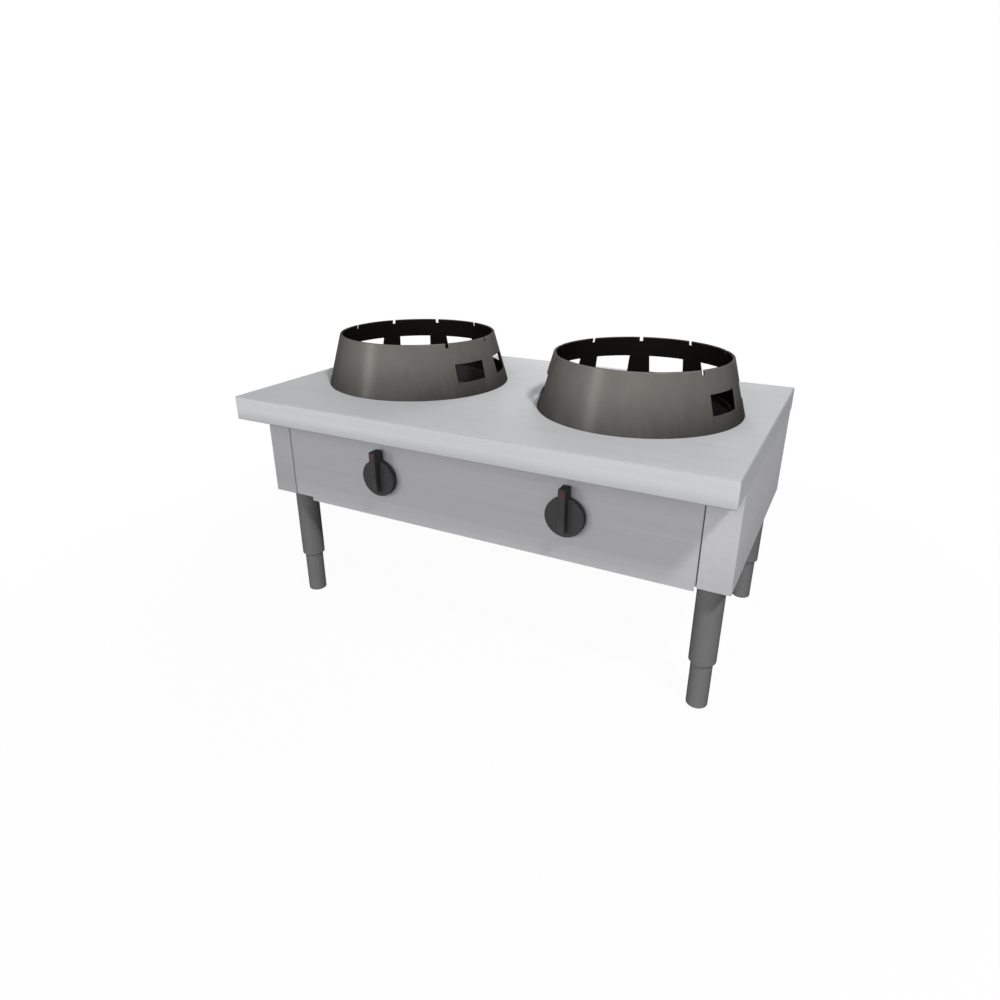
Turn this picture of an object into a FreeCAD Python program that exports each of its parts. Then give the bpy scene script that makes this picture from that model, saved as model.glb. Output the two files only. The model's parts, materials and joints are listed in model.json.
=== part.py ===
"""Free-standing gas wok range with two burners, on four telescopic legs.

Millimetres. +Z is up, the front faces -Y, +X is the cook's right hand.
The origin is on the floor, under the middle of the worktop.
"""
import FreeCAD, Part
import math
import os

# Worktop and body
WIDTH = 1000.0            # worktop, side to side
DEPTH = 610.0             # worktop, front to back
HEIGHT = 500.0            # floor to worktop surface
WORKTOP_EDGE = 48.0       # height of the folded edge
FRONT_OVERHANG = 80.0     # worktop edge in front of the corner posts
SIDE_REVEAL = 1.0         # worktop edge past the side panels
BACK_REVEAL = 3.0         # worktop edge past the back
BODY_HEIGHT = 185.0       # side panels, below the worktop edge
WORKTOP_SHEET = 2.0
SHEET = 1.5               # panels and rails
BEND_INSIDE = 1.0         # inside radius of every fold
WORKTOP_RETURN = 18.0     # flange folded in under the worktop edge

# Panels
POST_WIDTH = 57.0         # front return of a side panel, the corner post
BACK_RETURN = 30.0
TOP_FLANGE = 25.0
LEG_FLANGE = 80.0         # bottom flange of a side panel, which carries the legs
PANEL_RECESS = 2.0        # front panel behind the posts
PANEL_LAP = 8.0           # front panel tucked in behind the left post
PANEL_GAP = 2.0           # front panel to the right post
PANEL_DROP = 8.5          # front panel's lower edge below the posts
PANEL_DROP_INSET = 45.0   # left end of that edge to the left post
PANEL_HEM = 4.0           # hem folded back along that edge
PANEL_FLANGE = 20.0       # flanges of the front and back panels
EDGE_GAP = 3.0            # back panel's ends to the side panels
VENT_COUNT = 10
VENT_PITCH = 62.0
VENT_LENGTH = 44.0
VENT_WIDTH = 7.0
VENT_DROP = 45.0          # vents below the top of the back panel

# Legs
LEG_INSET_SIDE = 39.0     # leg axis to side panel
LEG_INSET_FRONT = 50.0    # leg axis to post
LEG_INSET_BACK = 34.0
LEG_RADIUS = 25.0
LEG_WALL = 1.5
LEG_PLUG = 6.0            # welded plug that closes the top of a leg
STUD_RADIUS = 6.0
STUD_LENGTH = 15.0
NUT_HEIGHT = 10.0
NUT_RADIUS = 11.0         # across corners
FOOT_RADIUS = 20.0
FOOT_WALL = 2.0
FOOT_SHOW = 98.0          # foot tube below the leg tube
FOOT_IN_LENGTH = 90.0     # foot tube inside the leg tube
FOOT_ROUND = 2.0
BUSH_LENGTH = 42.0
BUSH_SET_IN = 1.0         # bush above the leg tube's end
LOCK_RADIUS = 4.0
LOCK_HEIGHT = 22.0        # lock screw above the leg tube's end
LOCK_HEAD_RADIUS = 7.0
LOCK_HEAD = 5.0

# Wok rings
BURNER_SPACING = 504.0    # burner axis to burner axis
RING_BASE_RADIUS = 196.0
RING_TOP_RADIUS = 166.0
RING_HEIGHT = 105.0
RING_WALL = 5.0
RING_FOOT = 20.0          # inward foot of the ring
RING_FOOT_HEIGHT = 5.0
WINDOW_COUNT = 7
WINDOW_STEP = 36.8        # degrees from window to window
WINDOW_WIDTH = 72.0
WINDOW_SILL = 28.0        # window's lower edge above the worktop
WINDOW_HEIGHT = 36.0
NOTCH_COUNT = 8
NOTCH_STEP = 36.0         # degrees from notch to notch
NOTCH_WIDTH = 6.5
NOTCH_DEPTH = 9.0
LIP_HEIGHT = 10.0         # spill lip round the burner well
LIP_CLEARANCE = 2.0       # lip to ring foot

# Burners
BOWL_FLANGE = 22.0
BOWL_DEPTH = 75.0
BOWL_TAPER = 26.0
BOWL_HOLE_RADIUS = 55.0
BOWL_LIP = 8.0
AIR_SLOT_COUNT = 8
AIR_SLOT_WIDTH = 46.0
AIR_SLOT_HEIGHT = 10.0
AIR_SLOT_RISE = 28.0      # slots above the bowl's floor
BURNER_RADIUS = 80.0
BURNER_DROP = 30.0        # burner cap below the worktop
CAP_HEIGHT = 18.0
CAP_EYE_RADIUS = 26.0     # air hole through the burner's middle
CAP_SKIRT = 9.0
PORT_COUNT = 30
PORT_WIDTH = 3.0
PORT_DEPTH = 7.0
PORT_HEIGHT = 6.0
HEAD_DEPTH = 22.0         # dish of the burner head
THROAT_RADIUS = 20.0
MIXER_RADIUS = 16.0
MIXER_BORE = 12.0
BELL_RADIUS = 25.0
BELL_LENGTH = 24.0
FOOT_PAD = 4.0            # burner foot under the mixing tube
FOOT_PAD_LENGTH = 84.0
BURNER_BOLT_SPACING = 62.0
BURNER_BOLT_RADIUS = 3.0
BOLT_HEAD = 4.0
BOLT_HEAD_RADIUS = 5.8
RAIL_WIDTH = 44.0
RAIL_HEIGHT = 16.0
RAIL_TAB = 14.0           # end tab below the rail

# Injector, held by a cast bridge in front of the bell mouth
FEED_RUN = 24.5           # tap's axis to the injector's front end
BRIDGE_REACH = 15.0       # bell mouth to bridge
BRIDGE_BAR = 5.0
BRIDGE_WIDTH = 14.0
INJECTOR_RADIUS = 7.0
INJECTOR_HEX = 11.0
INJECTOR_HEX_LENGTH = 9.0
JET_LENGTH = 8.0
SHUTTER_RADIUS = 16.0
SHUTTER_SHEET = 1.2
SHUTTER_SET_IN = 3.0      # air shutter behind the bridge

# Pilot flame and thermocouple, on a lug of the burner head
PILOT_ANGLE = 30.0        # degrees from straight ahead, towards the tap
PILOT_OUT = 17.0          # lug's holes past the burner's edge
PILOT_SPREAD = 8.0        # each of the pair from the lug's middle
LUG_WIDTH = 34.0
LUG_HEIGHT = 6.0
LUG_MARGIN = 10.0         # lug past its holes
LUG_SET_DOWN = 3.0        # lug below the burner head's rim
PILOT_RADIUS = 4.0
PILOT_RISE = 17.0
THERMOCOUPLE_RADIUS = 2.6
THERMOCOUPLE_RISE = 21.0
COLLAR_HEIGHT = 3.0       # height of collars and nuts on the lug
COLLAR_RIM = 2.4          # collar past its own tube
PILOT_TUBE_RADIUS = 2.0
LEAD_RADIUS = 1.5
TUBE_BEND = 10.0
TUBE_RISE = 38.0          # level runs of both tubes above the tap's axis

# Gas pipes
PIPE_RADIUS = 10.65
PIPE_BORE = 8.0
PIPE_CLEARANCE = 2.5      # supply pipe to burner rail
PIPE_BEND = 32.0
MANIFOLD_END = 42.0       # manifold past each tap
UNION_RADIUS = 16.0
UNION_LENGTH = 26.0
SUPPLY_INSET = 99.0       # gas inlet to the right side panel
INLET_RADIUS = 17.0
INLET_LENGTH = 36.0
INLET_THREAD_RADIUS = 12.06
INLET_THREAD_LENGTH = 18.0
BRACKET_WIDTH = 16.0
BRACKET_WALL = 3.0
BRACKET_FOOT = 4.0
BRACKET_REACH = 12.0      # bracket's foot past its post
BRACKET_IN = 60.0         # bracket inboard of each tap

# Taps and knobs
KNOB_OFFSET = 49.0        # knob axis inboard of the burner axis
KNOB_RISE = 84.0          # knob axis above the body's bottom edge
KNOB_RADIUS = 38.0
KNOB_DISC = 10.5
KNOB_GAP = 4.5            # knob to front panel, room to push
KNOB_ROUND = 1.5
GRIP_WIDTH = 14.0
GRIP_RISE = 15.0          # grip in front of the disc
GRIP_NOSE = 20.5          # grip past the disc's edge, at the mark
GRIP_TAIL = 13.0           # disc's edge past the grip's lower end
GRIP_ROUND = 2.0
MARK_WIDTH = 6.0
MARK_LENGTH = 10.0
MARK_DEPTH = 1.0
MARK_SET_IN = 5.0         # mark below the grip's tip
SPINDLE_RADIUS = 4.0
SPINDLE_IN = 16.0         # spindle inside the knob
SPINDLE_FLAT = 1.2        # depth of the flat on the spindle's end
SPINDLE_HOLE = 5.5        # hole in the front panel
SHOULDER_RADIUS = 6.0
SHOULDER = 1.5
PUSH_TRAVEL = 4.0
THRUST_RING = 3.0
THRUST_RING_RADIUS = 8.6
BONNET_RADIUS = 11.0
BONNET_GAP = 14.0         # front panel to bonnet
BONNET_LENGTH = 18.0
BONNET_FACE = 2.0
BONNET_BORE = 9.0
TAP_RADIUS = 15.0
TAP_LENGTH = 36.0
TAP_END = 8.0
TAP_END_RADIUS = 12.0
TAP_SOCKET = 9.0          # spindle's end inside the tap body
OUTLET_RADIUS = 7.5
OUTLET_LENGTH = 24.0
FEED_RADIUS = 5.0
FEED_BEND = 14.0
INLET_STUB_RADIUS = 9.0
SADDLE_WIDTH = 34.0
SADDLE_DEPTH = 36.0
SADDLE_DROP = 4.0         # saddle below the manifold's axis
PORT_BOSS_RADIUS = 4.5
PORT_BOSS_RISE = 21.0
PORT_BOSS_SPREAD = 6.5

# Screws and fits
SCREW_RADIUS = 2.0
SCREW_LENGTH = 7.0
SCREW_HEAD_RADIUS = 4.0
SCREW_HEAD = 2.4
SCREW_EDGE = 10.0         # screw to a panel's edge
WORKTOP_SCREWS = 4        # along each side
BACK_SCREWS = 3           # up each end of the back panel
FRONT_SCREWS = 4          # along the front panel's lower flange
HOLE_CLEARANCE = 0.3      # screws and studs in their holes
SLIDE_FIT = 0.1           # foot in bush, bush in leg
RUNNING_FIT = 0.06        # spindle in its bearings, shutter on its injector
SEAT_GAP = 0.2            # round pieces on their seats
OVERSHOOT = 5.0           # cutting tools past the face they cut

# Places that follow from the sizes
SIDES = {"left": -1, "right": 1}
X_AXIS = FreeCAD.Vector(1, 0, 0)
Y_AXIS = FreeCAD.Vector(0, 1, 0)
Z_AXIS = FreeCAD.Vector(0, 0, 1)

worktop_bottom = HEIGHT - WORKTOP_EDGE
body_bottom = worktop_bottom - BODY_HEIGHT
body_side = WIDTH / 2 - SIDE_REVEAL
body_front = FRONT_OVERHANG - DEPTH / 2
body_back = DEPTH / 2 - BACK_REVEAL
supply_x = body_side - SUPPLY_INSET
floor_top = body_bottom + SHEET               # upper face of the bottom flanges

leg_x = body_side - LEG_INSET_SIDE
leg_rows = {"front": body_front + LEG_INSET_FRONT, "rear": body_back - LEG_INSET_BACK}

burner_x = BURNER_SPACING / 2
knob_x = burner_x - KNOB_OFFSET
knob_z = body_bottom + KNOB_RISE

ring_base_inside = RING_BASE_RADIUS - RING_WALL
ring_foot_radius = ring_base_inside - RING_FOOT
well_radius = ring_foot_radius - LIP_CLEARANCE - WORKTOP_SHEET

panel_front = body_front + PANEL_RECESS
panel_back = panel_front + SHEET
post_edge = body_side - POST_WIDTH
panel_left = -post_edge - PANEL_LAP
panel_right = post_edge - PANEL_GAP
panel_bottom = floor_top + SHEET              # on the front rail's lower flange

rail_top = knob_z - MIXER_RADIUS - FOOT_PAD
rail_bottom = rail_top - RAIL_HEIGHT
manifold_z = rail_bottom - PIPE_CLEARANCE - PIPE_RADIUS
front_rail_top = manifold_z - UNION_RADIUS - SEAT_GAP
front_rail_web = panel_front + PANEL_FLANGE + SHEET + EDGE_GAP
front_rail_half = leg_x - NUT_RADIUS - EDGE_GAP

bonnet_front = panel_back + BONNET_GAP
tap_front = bonnet_front + BONNET_LENGTH
tap_back = tap_front + TAP_LENGTH
tap_y = (tap_front + tap_back) / 2
bracket_reach = PIPE_RADIUS + SEAT_GAP + BRACKET_WALL + BRACKET_REACH
manifold_half = knob_x + MANIFOLD_END
bracket_x = knob_x - BRACKET_IN

worktop_under = HEIGHT - WORKTOP_SHEET
bowl_floor = worktop_under - BOWL_DEPTH
bowl_floor_radius = well_radius - BOWL_TAPER
cap_top = HEIGHT - BURNER_DROP
rim_z = cap_top - CAP_HEIGHT                  # burner head's rim, under the cap
injector_front = tap_y + FEED_RUN
bridge_y = injector_front + INJECTOR_HEX_LENGTH + BRIDGE_BAR    # rear face of the injector's bridge
mouth_y = bridge_y + BRIDGE_REACH                               # bell mouth of the mixing tube
lug_top = rim_z - LUG_SET_DOWN
lug_bottom = lug_top - LUG_HEIGHT

knob_back = panel_front - KNOB_GAP
knob_face = knob_back - KNOB_DISC
grip_face = knob_face - GRIP_RISE
spindle_front = knob_back - SPINDLE_IN
grip_tip = KNOB_RADIUS + GRIP_NOSE
ring_rest = bonnet_front + BONNET_FACE + SHOULDER + SEAT_GAP


def vec(x, y, z):
    return FreeCAD.Vector(x, y, z)


def block(x0, x1, y0, y1, z0, z1):
    """Box between two corners, given in either order."""
    low = vec(min(x0, x1), min(y0, y1), min(z0, z1))
    return Part.makeBox(abs(x1 - x0), abs(y1 - y0), abs(z1 - z0), low)


def rod(radius, start, end):
    """Round bar from one point to another."""
    run = end - start
    return Part.makeCylinder(radius, run.Length, start, run)


def prism(radius, sides, start, end):
    """Bar with a regular polygon as its section; the radius is to its corners."""
    run = end - start
    corners = []
    for i in range(sides + 1):
        turn = 2 * math.pi * i / sides
        corners.append(vec(radius * math.cos(turn), radius * math.sin(turn), 0))
    bar = Part.Face(Part.makePolygon(corners)).extrude(Z_AXIS * run.Length)
    bar.Placement = FreeCAD.Placement(start, FreeCAD.Rotation(Z_AXIS, run))
    return bar


def turned(profile, base, axis=Z_AXIS):
    """Solid of revolution of a closed outline of (radius, height) about an axis through the base."""
    corners = [vec(radius, 0, height) for radius, height in profile]
    face = Part.Face(Part.makePolygon(corners + corners[:1]))
    solid = face.revolve(vec(0, 0, 0), Z_AXIS, 360)
    solid.Placement = FreeCAD.Placement(base, FreeCAD.Rotation(Z_AXIS, axis))
    return solid


def bent_edges(points, radii):
    """Straight runs through the points, with a tangent arc at each inner point."""
    edges = []
    start = points[0]
    for i, radius in enumerate(radii, 1):
        corner = points[i]
        back = points[i - 1] - corner
        ahead = points[i + 1] - corner
        half_turn = (math.pi - back.getAngle(ahead)) / 2
        reach = radius * math.tan(half_turn)
        back.normalize()
        ahead.normalize()
        bisector = back + ahead
        bisector.normalize()
        middle = corner + bisector * (radius / math.cos(half_turn) - radius)
        arc_start = corner + back * reach
        arc_end = corner + ahead * reach
        edges.append(Part.LineSegment(start, arc_start).toShape())
        edges.append(Part.Arc(arc_start, middle, arc_end).toShape())
        start = arc_end
    edges.append(Part.LineSegment(start, points[-1]).toShape())
    return edges


def bent_tube(points, bend, radius):
    """Round bar that follows the points, bent at each inner one."""
    path = Part.Wire(bent_edges(points, [bend] * (len(points) - 2)))
    section = Part.Wire(Part.makeCircle(radius, points[0], points[1] - points[0]))
    return path.makePipeShell([section], True, False)


def folded(points, thickness, run):
    """Folded sheet: a line of outside points, thickened to its left and drawn out along run.

    A negative thickness goes to the line's right.
    """
    normal = FreeCAD.Vector(run)
    normal.normalize()
    ways = []
    for here, there in zip(points, points[1:]):
        way = there - here
        ways.append(way.normalize())
    lefts = [normal.cross(way) for way in ways]
    inner = [points[0] + lefts[0] * thickness]
    near_radii = []
    far_radii = []
    for i in range(1, len(ways)):
        inner.append(points[i] + (lefts[i - 1] + lefts[i]) * thickness)
        turns_in = ways[i - 1].cross(ways[i]).dot(normal) * thickness > 0
        near_radii.append(BEND_INSIDE + (abs(thickness) if turns_in else 0))
        far_radii.append(BEND_INSIDE + (0 if turns_in else abs(thickness)))
    inner.append(points[-1] + lefts[-1] * thickness)
    edges = bent_edges(points, near_radii) + bent_edges(inner, far_radii)
    edges.append(Part.LineSegment(points[0], inner[0]).toShape())
    edges.append(Part.LineSegment(points[-1], inner[-1]).toShape())
    return Part.Face(Part.Wire(Part.__sortEdges__(edges))).extrude(run)


def around(shape, centre, degrees):
    """Copy of a shape, turned about an upright axis through the centre."""
    copy = shape.copy()
    copy.rotate(centre, Z_AXIS, degrees)
    return copy


def joined(shapes):
    """All the shapes fused, with the seams between flush faces taken out."""
    return shapes[0].fuse(shapes[1:]).removeSplitter()


def screw(tip_way, seat):
    """Pan-head screw whose head sits on the seat and whose shank runs along tip_way."""
    head = rod(SCREW_HEAD_RADIUS, seat - tip_way * SCREW_HEAD, seat)
    return joined([head, rod(SCREW_RADIUS, seat, seat + tip_way * SCREW_LENGTH)])


def screw_hole(tip_way, seat):
    start = seat - tip_way * OVERSHOOT
    return rod(SCREW_RADIUS + HOLE_CLEARANCE, start, seat + tip_way * SCREW_LENGTH)


def spaced(low, high, count):
    """Evenly spaced values from low to high."""
    return [low + (high - low) * i / (count - 1) for i in range(count)]


worktop_screw_seats = [
    vec(side * (body_side - SCREW_EDGE), y, worktop_bottom - SHEET)
    for side in SIDES.values()
    for y in spaced(body_front + POST_WIDTH, body_back - POST_WIDTH, WORKTOP_SCREWS)
]
back_screw_seats = [
    vec(side * (body_side - BACK_RETURN / 2), body_back, z)
    for side in SIDES.values()
    for z in spaced(floor_top + PANEL_FLANGE, worktop_bottom - PANEL_FLANGE, BACK_SCREWS)
]
front_screw_seats = [
    vec(x, (panel_back + panel_front + PANEL_FLANGE) / 2, floor_top)
    for x in spaced(POST_WIDTH - post_edge, post_edge - POST_WIDTH, FRONT_SCREWS)
]
burner_bolt_seats = [
    vec(side * burner_x + offset, 0, rail_top + FOOT_PAD)
    for side in SIDES.values()
    for offset in (-BURNER_BOLT_SPACING / 2, BURNER_BOLT_SPACING / 2)
]
leg_places = {
    f"{row}_{name}": vec(side * leg_x, y, 0)
    for row, y in leg_rows.items()
    for name, side in SIDES.items()
}


def worktop():
    """Folded pan with a wide return under the front, and a raised spill lip round each burner well."""
    def pan(inset, radius):
        shape = block(
            inset - WIDTH / 2, WIDTH / 2 - inset, inset - DEPTH / 2, DEPTH / 2 - inset,
            worktop_bottom + inset, HEIGHT - inset)
        return shape.makeFillet(radius, shape.Edges)

    mouth = block(
        WORKTOP_RETURN - WIDTH / 2, WIDTH / 2 - WORKTOP_RETURN,
        panel_back + PANEL_FLANGE, DEPTH / 2 - WORKTOP_RETURN,
        worktop_bottom - OVERSHOOT, worktop_bottom + WORKTOP_SHEET + OVERSHOOT)
    top = pan(0, BEND_INSIDE + WORKTOP_SHEET).cut([pan(WORKTOP_SHEET, BEND_INSIDE), mouth])
    for side in SIDES.values():
        centre = vec(side * burner_x, 0, worktop_under)
        lip_top = centre + Z_AXIS * (WORKTOP_SHEET + LIP_HEIGHT)
        collar = rod(well_radius + WORKTOP_SHEET, centre, lip_top)
        well = rod(well_radius, centre - Z_AXIS * OVERSHOOT, lip_top + Z_AXIS * OVERSHOOT)
        top = top.fuse(collar).cut(well)
    return top.cut([screw_hole(Z_AXIS, seat) for seat in worktop_screw_seats]).removeSplitter()


def side_panel(side):
    """Folded side wall with its corner post, back return, screw flange and leg flange."""
    outside = side * body_side
    plan = [
        vec(side * post_edge, body_front, body_bottom),
        vec(outside, body_front, body_bottom),
        vec(outside, body_back, body_bottom),
        vec(side * (body_side - BACK_RETURN), body_back, body_bottom),
    ]
    wall = folded(plan, side * SHEET, Z_AXIS * BODY_HEIGHT)
    inside = side * (body_side - SHEET)
    ends = (body_front + SHEET, body_back - SHEET)
    leg_flange = block(side * (body_side - LEG_FLANGE), inside, *ends, body_bottom, floor_top)
    notch = block(
        side * (body_side - LEG_FLANGE), side * post_edge, body_front, panel_back, body_bottom, floor_top)
    top_flange = block(
        side * (body_side - TOP_FLANGE), inside, *ends, worktop_bottom - SHEET, worktop_bottom)
    holes = [notch] + [screw_hole(Z_AXIS, seat) for seat in worktop_screw_seats]
    holes += [screw_hole(-Y_AXIS, seat) for seat in back_screw_seats]
    for place in leg_places.values():
        low = place + Z_AXIS * (body_bottom - OVERSHOOT)
        holes.append(rod(STUD_RADIUS + HOLE_CLEARANCE, low, low + Z_AXIS * 2 * OVERSHOOT))
    return joined([wall, leg_flange, top_flange]).cut(holes)


def front_panel():
    """Control panel: folded back all round, with a hemmed lower edge and two spindle holes.

    Its left end goes in behind the left post, and its right end then drops in beside the right one.
    """
    depth = panel_front + PANEL_FLANGE
    plan = [
        vec(panel_left, depth, panel_bottom),
        vec(panel_left, panel_front, panel_bottom),
        vec(panel_right, panel_front, panel_bottom),
        vec(panel_right, depth, panel_bottom),
    ]
    wall = folded(plan, SHEET, Z_AXIS * (worktop_bottom - panel_bottom))
    inside = (panel_left + SHEET, panel_right - SHEET)
    lower = block(*inside, panel_back, depth, panel_bottom, panel_bottom + SHEET)
    upper = block(*inside, panel_back, depth, worktop_bottom - SHEET, worktop_bottom)
    end = panel_right - BEND_INSIDE - SHEET
    apron = block(PANEL_GAP - post_edge, end, panel_front, panel_back, body_bottom, panel_bottom)
    start = PANEL_DROP_INSET - post_edge
    edge = body_bottom - PANEL_DROP
    drop = block(start, end, panel_front, panel_back, edge, body_bottom)
    hem = block(start, end, panel_back, panel_back + PANEL_HEM, edge, edge + SHEET)
    holes = [screw_hole(Z_AXIS, seat) for seat in front_screw_seats]
    for side in SIDES.values():
        front = vec(side * knob_x, panel_front - OVERSHOOT, knob_z)
        holes.append(rod(SPINDLE_HOLE, front, front + Y_AXIS * 2 * OVERSHOOT))
    return joined([wall, lower, upper, apron, drop, hem]).cut(holes)


def back_panel():
    """Folded back sheet with a row of vents and the hole for the gas inlet."""
    back = body_back - SHEET
    half = body_side - SHEET - EDGE_GAP
    top = worktop_bottom - SHEET
    outline = [
        vec(-half, back - PANEL_FLANGE, floor_top),
        vec(-half, back, floor_top),
        vec(-half, back, top),
        vec(-half, back - PANEL_FLANGE, top),
    ]
    sheet = folded(outline, SHEET, X_AXIS * 2 * half)
    holes = [screw_hole(-Y_AXIS, seat) for seat in back_screw_seats]
    inlet = vec(supply_x, back - OVERSHOOT, manifold_z)
    holes.append(rod(INLET_RADIUS + SEAT_GAP, inlet, inlet + Y_AXIS * 2 * OVERSHOOT))
    vent_z = top - VENT_DROP
    row_half = VENT_PITCH * (VENT_COUNT - 1) / 2
    for x in spaced(-row_half, row_half, VENT_COUNT):
        straight = (VENT_LENGTH - VENT_WIDTH) / 2
        ends = (x - straight, x + straight)
        holes.append(block(
            *ends, back - OVERSHOOT, back + OVERSHOOT, vent_z - VENT_WIDTH / 2, vent_z + VENT_WIDTH / 2))
        for end in ends:
            start = vec(end, back - OVERSHOOT, vent_z)
            holes.append(rod(VENT_WIDTH / 2, start, start + Y_AXIS * 2 * OVERSHOOT))
    return sheet.cut(holes)


def front_rail():
    """Z-shaped rail between the leg flanges, under the front panel and the manifold's brackets."""
    section = [
        vec(-front_rail_half, panel_back + SEAT_GAP, floor_top),
        vec(-front_rail_half, front_rail_web, floor_top),
        vec(-front_rail_half, front_rail_web, front_rail_top - SHEET),
        vec(-front_rail_half, tap_y + bracket_reach, front_rail_top - SHEET),
    ]
    rail = folded(section, SHEET, X_AXIS * 2 * front_rail_half)
    return rail.cut([screw_hole(Z_AXIS, seat) for seat in front_screw_seats])


def burner_rail():
    """Channel across the body that carries both burners, spot-welded to the side panels by its end tabs."""
    inside = body_side - SHEET
    half = RAIL_WIDTH / 2
    section = [
        vec(-inside, -half, rail_bottom),
        vec(-inside, -half, rail_top),
        vec(-inside, half, rail_top),
        vec(-inside, half, rail_bottom),
    ]
    pieces = [folded(section, -SHEET, X_AXIS * 2 * inside)]
    for side in SIDES.values():
        pieces.append(block(
            side * (inside - SHEET), side * inside, -half, half, rail_bottom - RAIL_TAB, rail_top - SHEET))
    holes = []
    for seat in burner_bolt_seats:
        low = seat - Z_AXIS * (FOOT_PAD + OVERSHOOT)
        holes.append(rod(BURNER_BOLT_RADIUS + HOLE_CLEARANCE, low, seat))
    return joined(pieces).cut(holes)


def lock_hole(place):
    """Hole through a leg tube and its bush, on the side away from the cook."""
    axis = place + Z_AXIS * (FOOT_SHOW + LOCK_HEIGHT)
    return rod(LOCK_RADIUS + HOLE_CLEARANCE, axis, axis + Y_AXIS * (LEG_RADIUS + OVERSHOOT))


def leg_tube(place):
    """Leg tube with the plug and threaded stud welded into its top."""
    inside = LEG_RADIUS - LEG_WALL
    tube = turned([
        (inside, FOOT_SHOW), (LEG_RADIUS, FOOT_SHOW), (LEG_RADIUS, body_bottom),
        (STUD_RADIUS, body_bottom), (STUD_RADIUS, body_bottom + STUD_LENGTH),
        (0, body_bottom + STUD_LENGTH), (0, body_bottom - LEG_PLUG), (inside, body_bottom - LEG_PLUG),
    ], place)
    return tube.cut(lock_hole(place))


def leg_bush(place):
    """Plain bearing pressed into the leg's lower end, in which the foot slides."""
    inside = FOOT_RADIUS + SLIDE_FIT
    outside = LEG_RADIUS - LEG_WALL - SLIDE_FIT
    low = FOOT_SHOW + BUSH_SET_IN
    high = low + BUSH_LENGTH
    bush = turned([(inside, low), (outside, low), (outside, high), (inside, high)], place)
    return bush.cut(lock_hole(place))


def leg_foot(place):
    """Foot tube with a closed, rounded lower end."""
    inside = FOOT_RADIUS - FOOT_WALL
    high = FOOT_SHOW + FOOT_IN_LENGTH
    foot = turned([
        (0, 0), (FOOT_RADIUS, 0), (FOOT_RADIUS, high), (inside, high), (inside, FOOT_WALL), (0, FOOT_WALL),
    ], place)
    rim = [e for e in foot.Edges if e.BoundBox.ZMax < FOOT_ROUND and e.BoundBox.XLength > FOOT_RADIUS]
    return foot.makeFillet(FOOT_ROUND, rim)


def lock_screw(place):
    """Hex screw that clamps the foot tube at its height."""
    axis = place + Z_AXIS * (FOOT_SHOW + LOCK_HEIGHT)
    seat = axis + Y_AXIS * (LEG_RADIUS + SEAT_GAP)
    head = prism(LOCK_HEAD_RADIUS, 6, seat, seat + Y_AXIS * LOCK_HEAD)
    return joined([head, rod(LOCK_RADIUS, axis + Y_AXIS * (FOOT_RADIUS + SEAT_GAP), seat)])


def leg_nut(place):
    seat = place + Z_AXIS * floor_top
    nut = prism(NUT_RADIUS, 6, seat, seat + Z_AXIS * NUT_HEIGHT)
    return nut.cut(rod(STUD_RADIUS + HOLE_CLEARANCE / 2, seat, seat + Z_AXIS * NUT_HEIGHT))


def wok_ring(side):
    """Cone that carries the wok: closed towards the cook, windows and rim notches round the rest."""
    base = vec(side * burner_x, 0, HEIGHT)
    slope = (RING_BASE_RADIUS - RING_TOP_RADIUS) / RING_HEIGHT
    ring = turned([
        (ring_foot_radius, 0), (RING_BASE_RADIUS, 0), (RING_TOP_RADIUS, RING_HEIGHT),
        (RING_TOP_RADIUS - RING_WALL, RING_HEIGHT),
        (ring_base_inside - slope * RING_FOOT_HEIGHT, RING_FOOT_HEIGHT),
        (ring_foot_radius, RING_FOOT_HEIGHT),
    ], base)

    def opening(width, low, high):
        """Cutter through the wall at the back of the ring, along Y."""
        return block(
            base.x - width / 2, base.x + width / 2, ring_foot_radius / 2, RING_BASE_RADIUS + OVERSHOOT,
            HEIGHT + low, HEIGHT + high)

    window = opening(WINDOW_WIDTH, WINDOW_SILL, WINDOW_SILL + WINDOW_HEIGHT)
    notch = opening(NOTCH_WIDTH, RING_HEIGHT - NOTCH_DEPTH, RING_HEIGHT + OVERSHOOT)
    cuts = []
    for cutter, count, step in ((window, WINDOW_COUNT, WINDOW_STEP), (notch, NOTCH_COUNT, NOTCH_STEP)):
        spread = step * (count - 1) / 2
        cuts += [around(cutter, base, angle) for angle in spaced(-spread, spread, count)]
    return ring.cut(cuts)


def pilot_places(side):
    """Axes of the pilot flame and the thermocouple, side by side on the burner head's lug."""
    turn = math.radians(PILOT_ANGLE)
    out = vec(-side * math.sin(turn), -math.cos(turn), 0)
    across = vec(side * math.cos(turn), -math.sin(turn), 0)
    middle = vec(side * burner_x, 0, 0) + out * (BURNER_RADIUS + PILOT_OUT)
    return middle + across * PILOT_SPREAD, middle - across * PILOT_SPREAD


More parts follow.
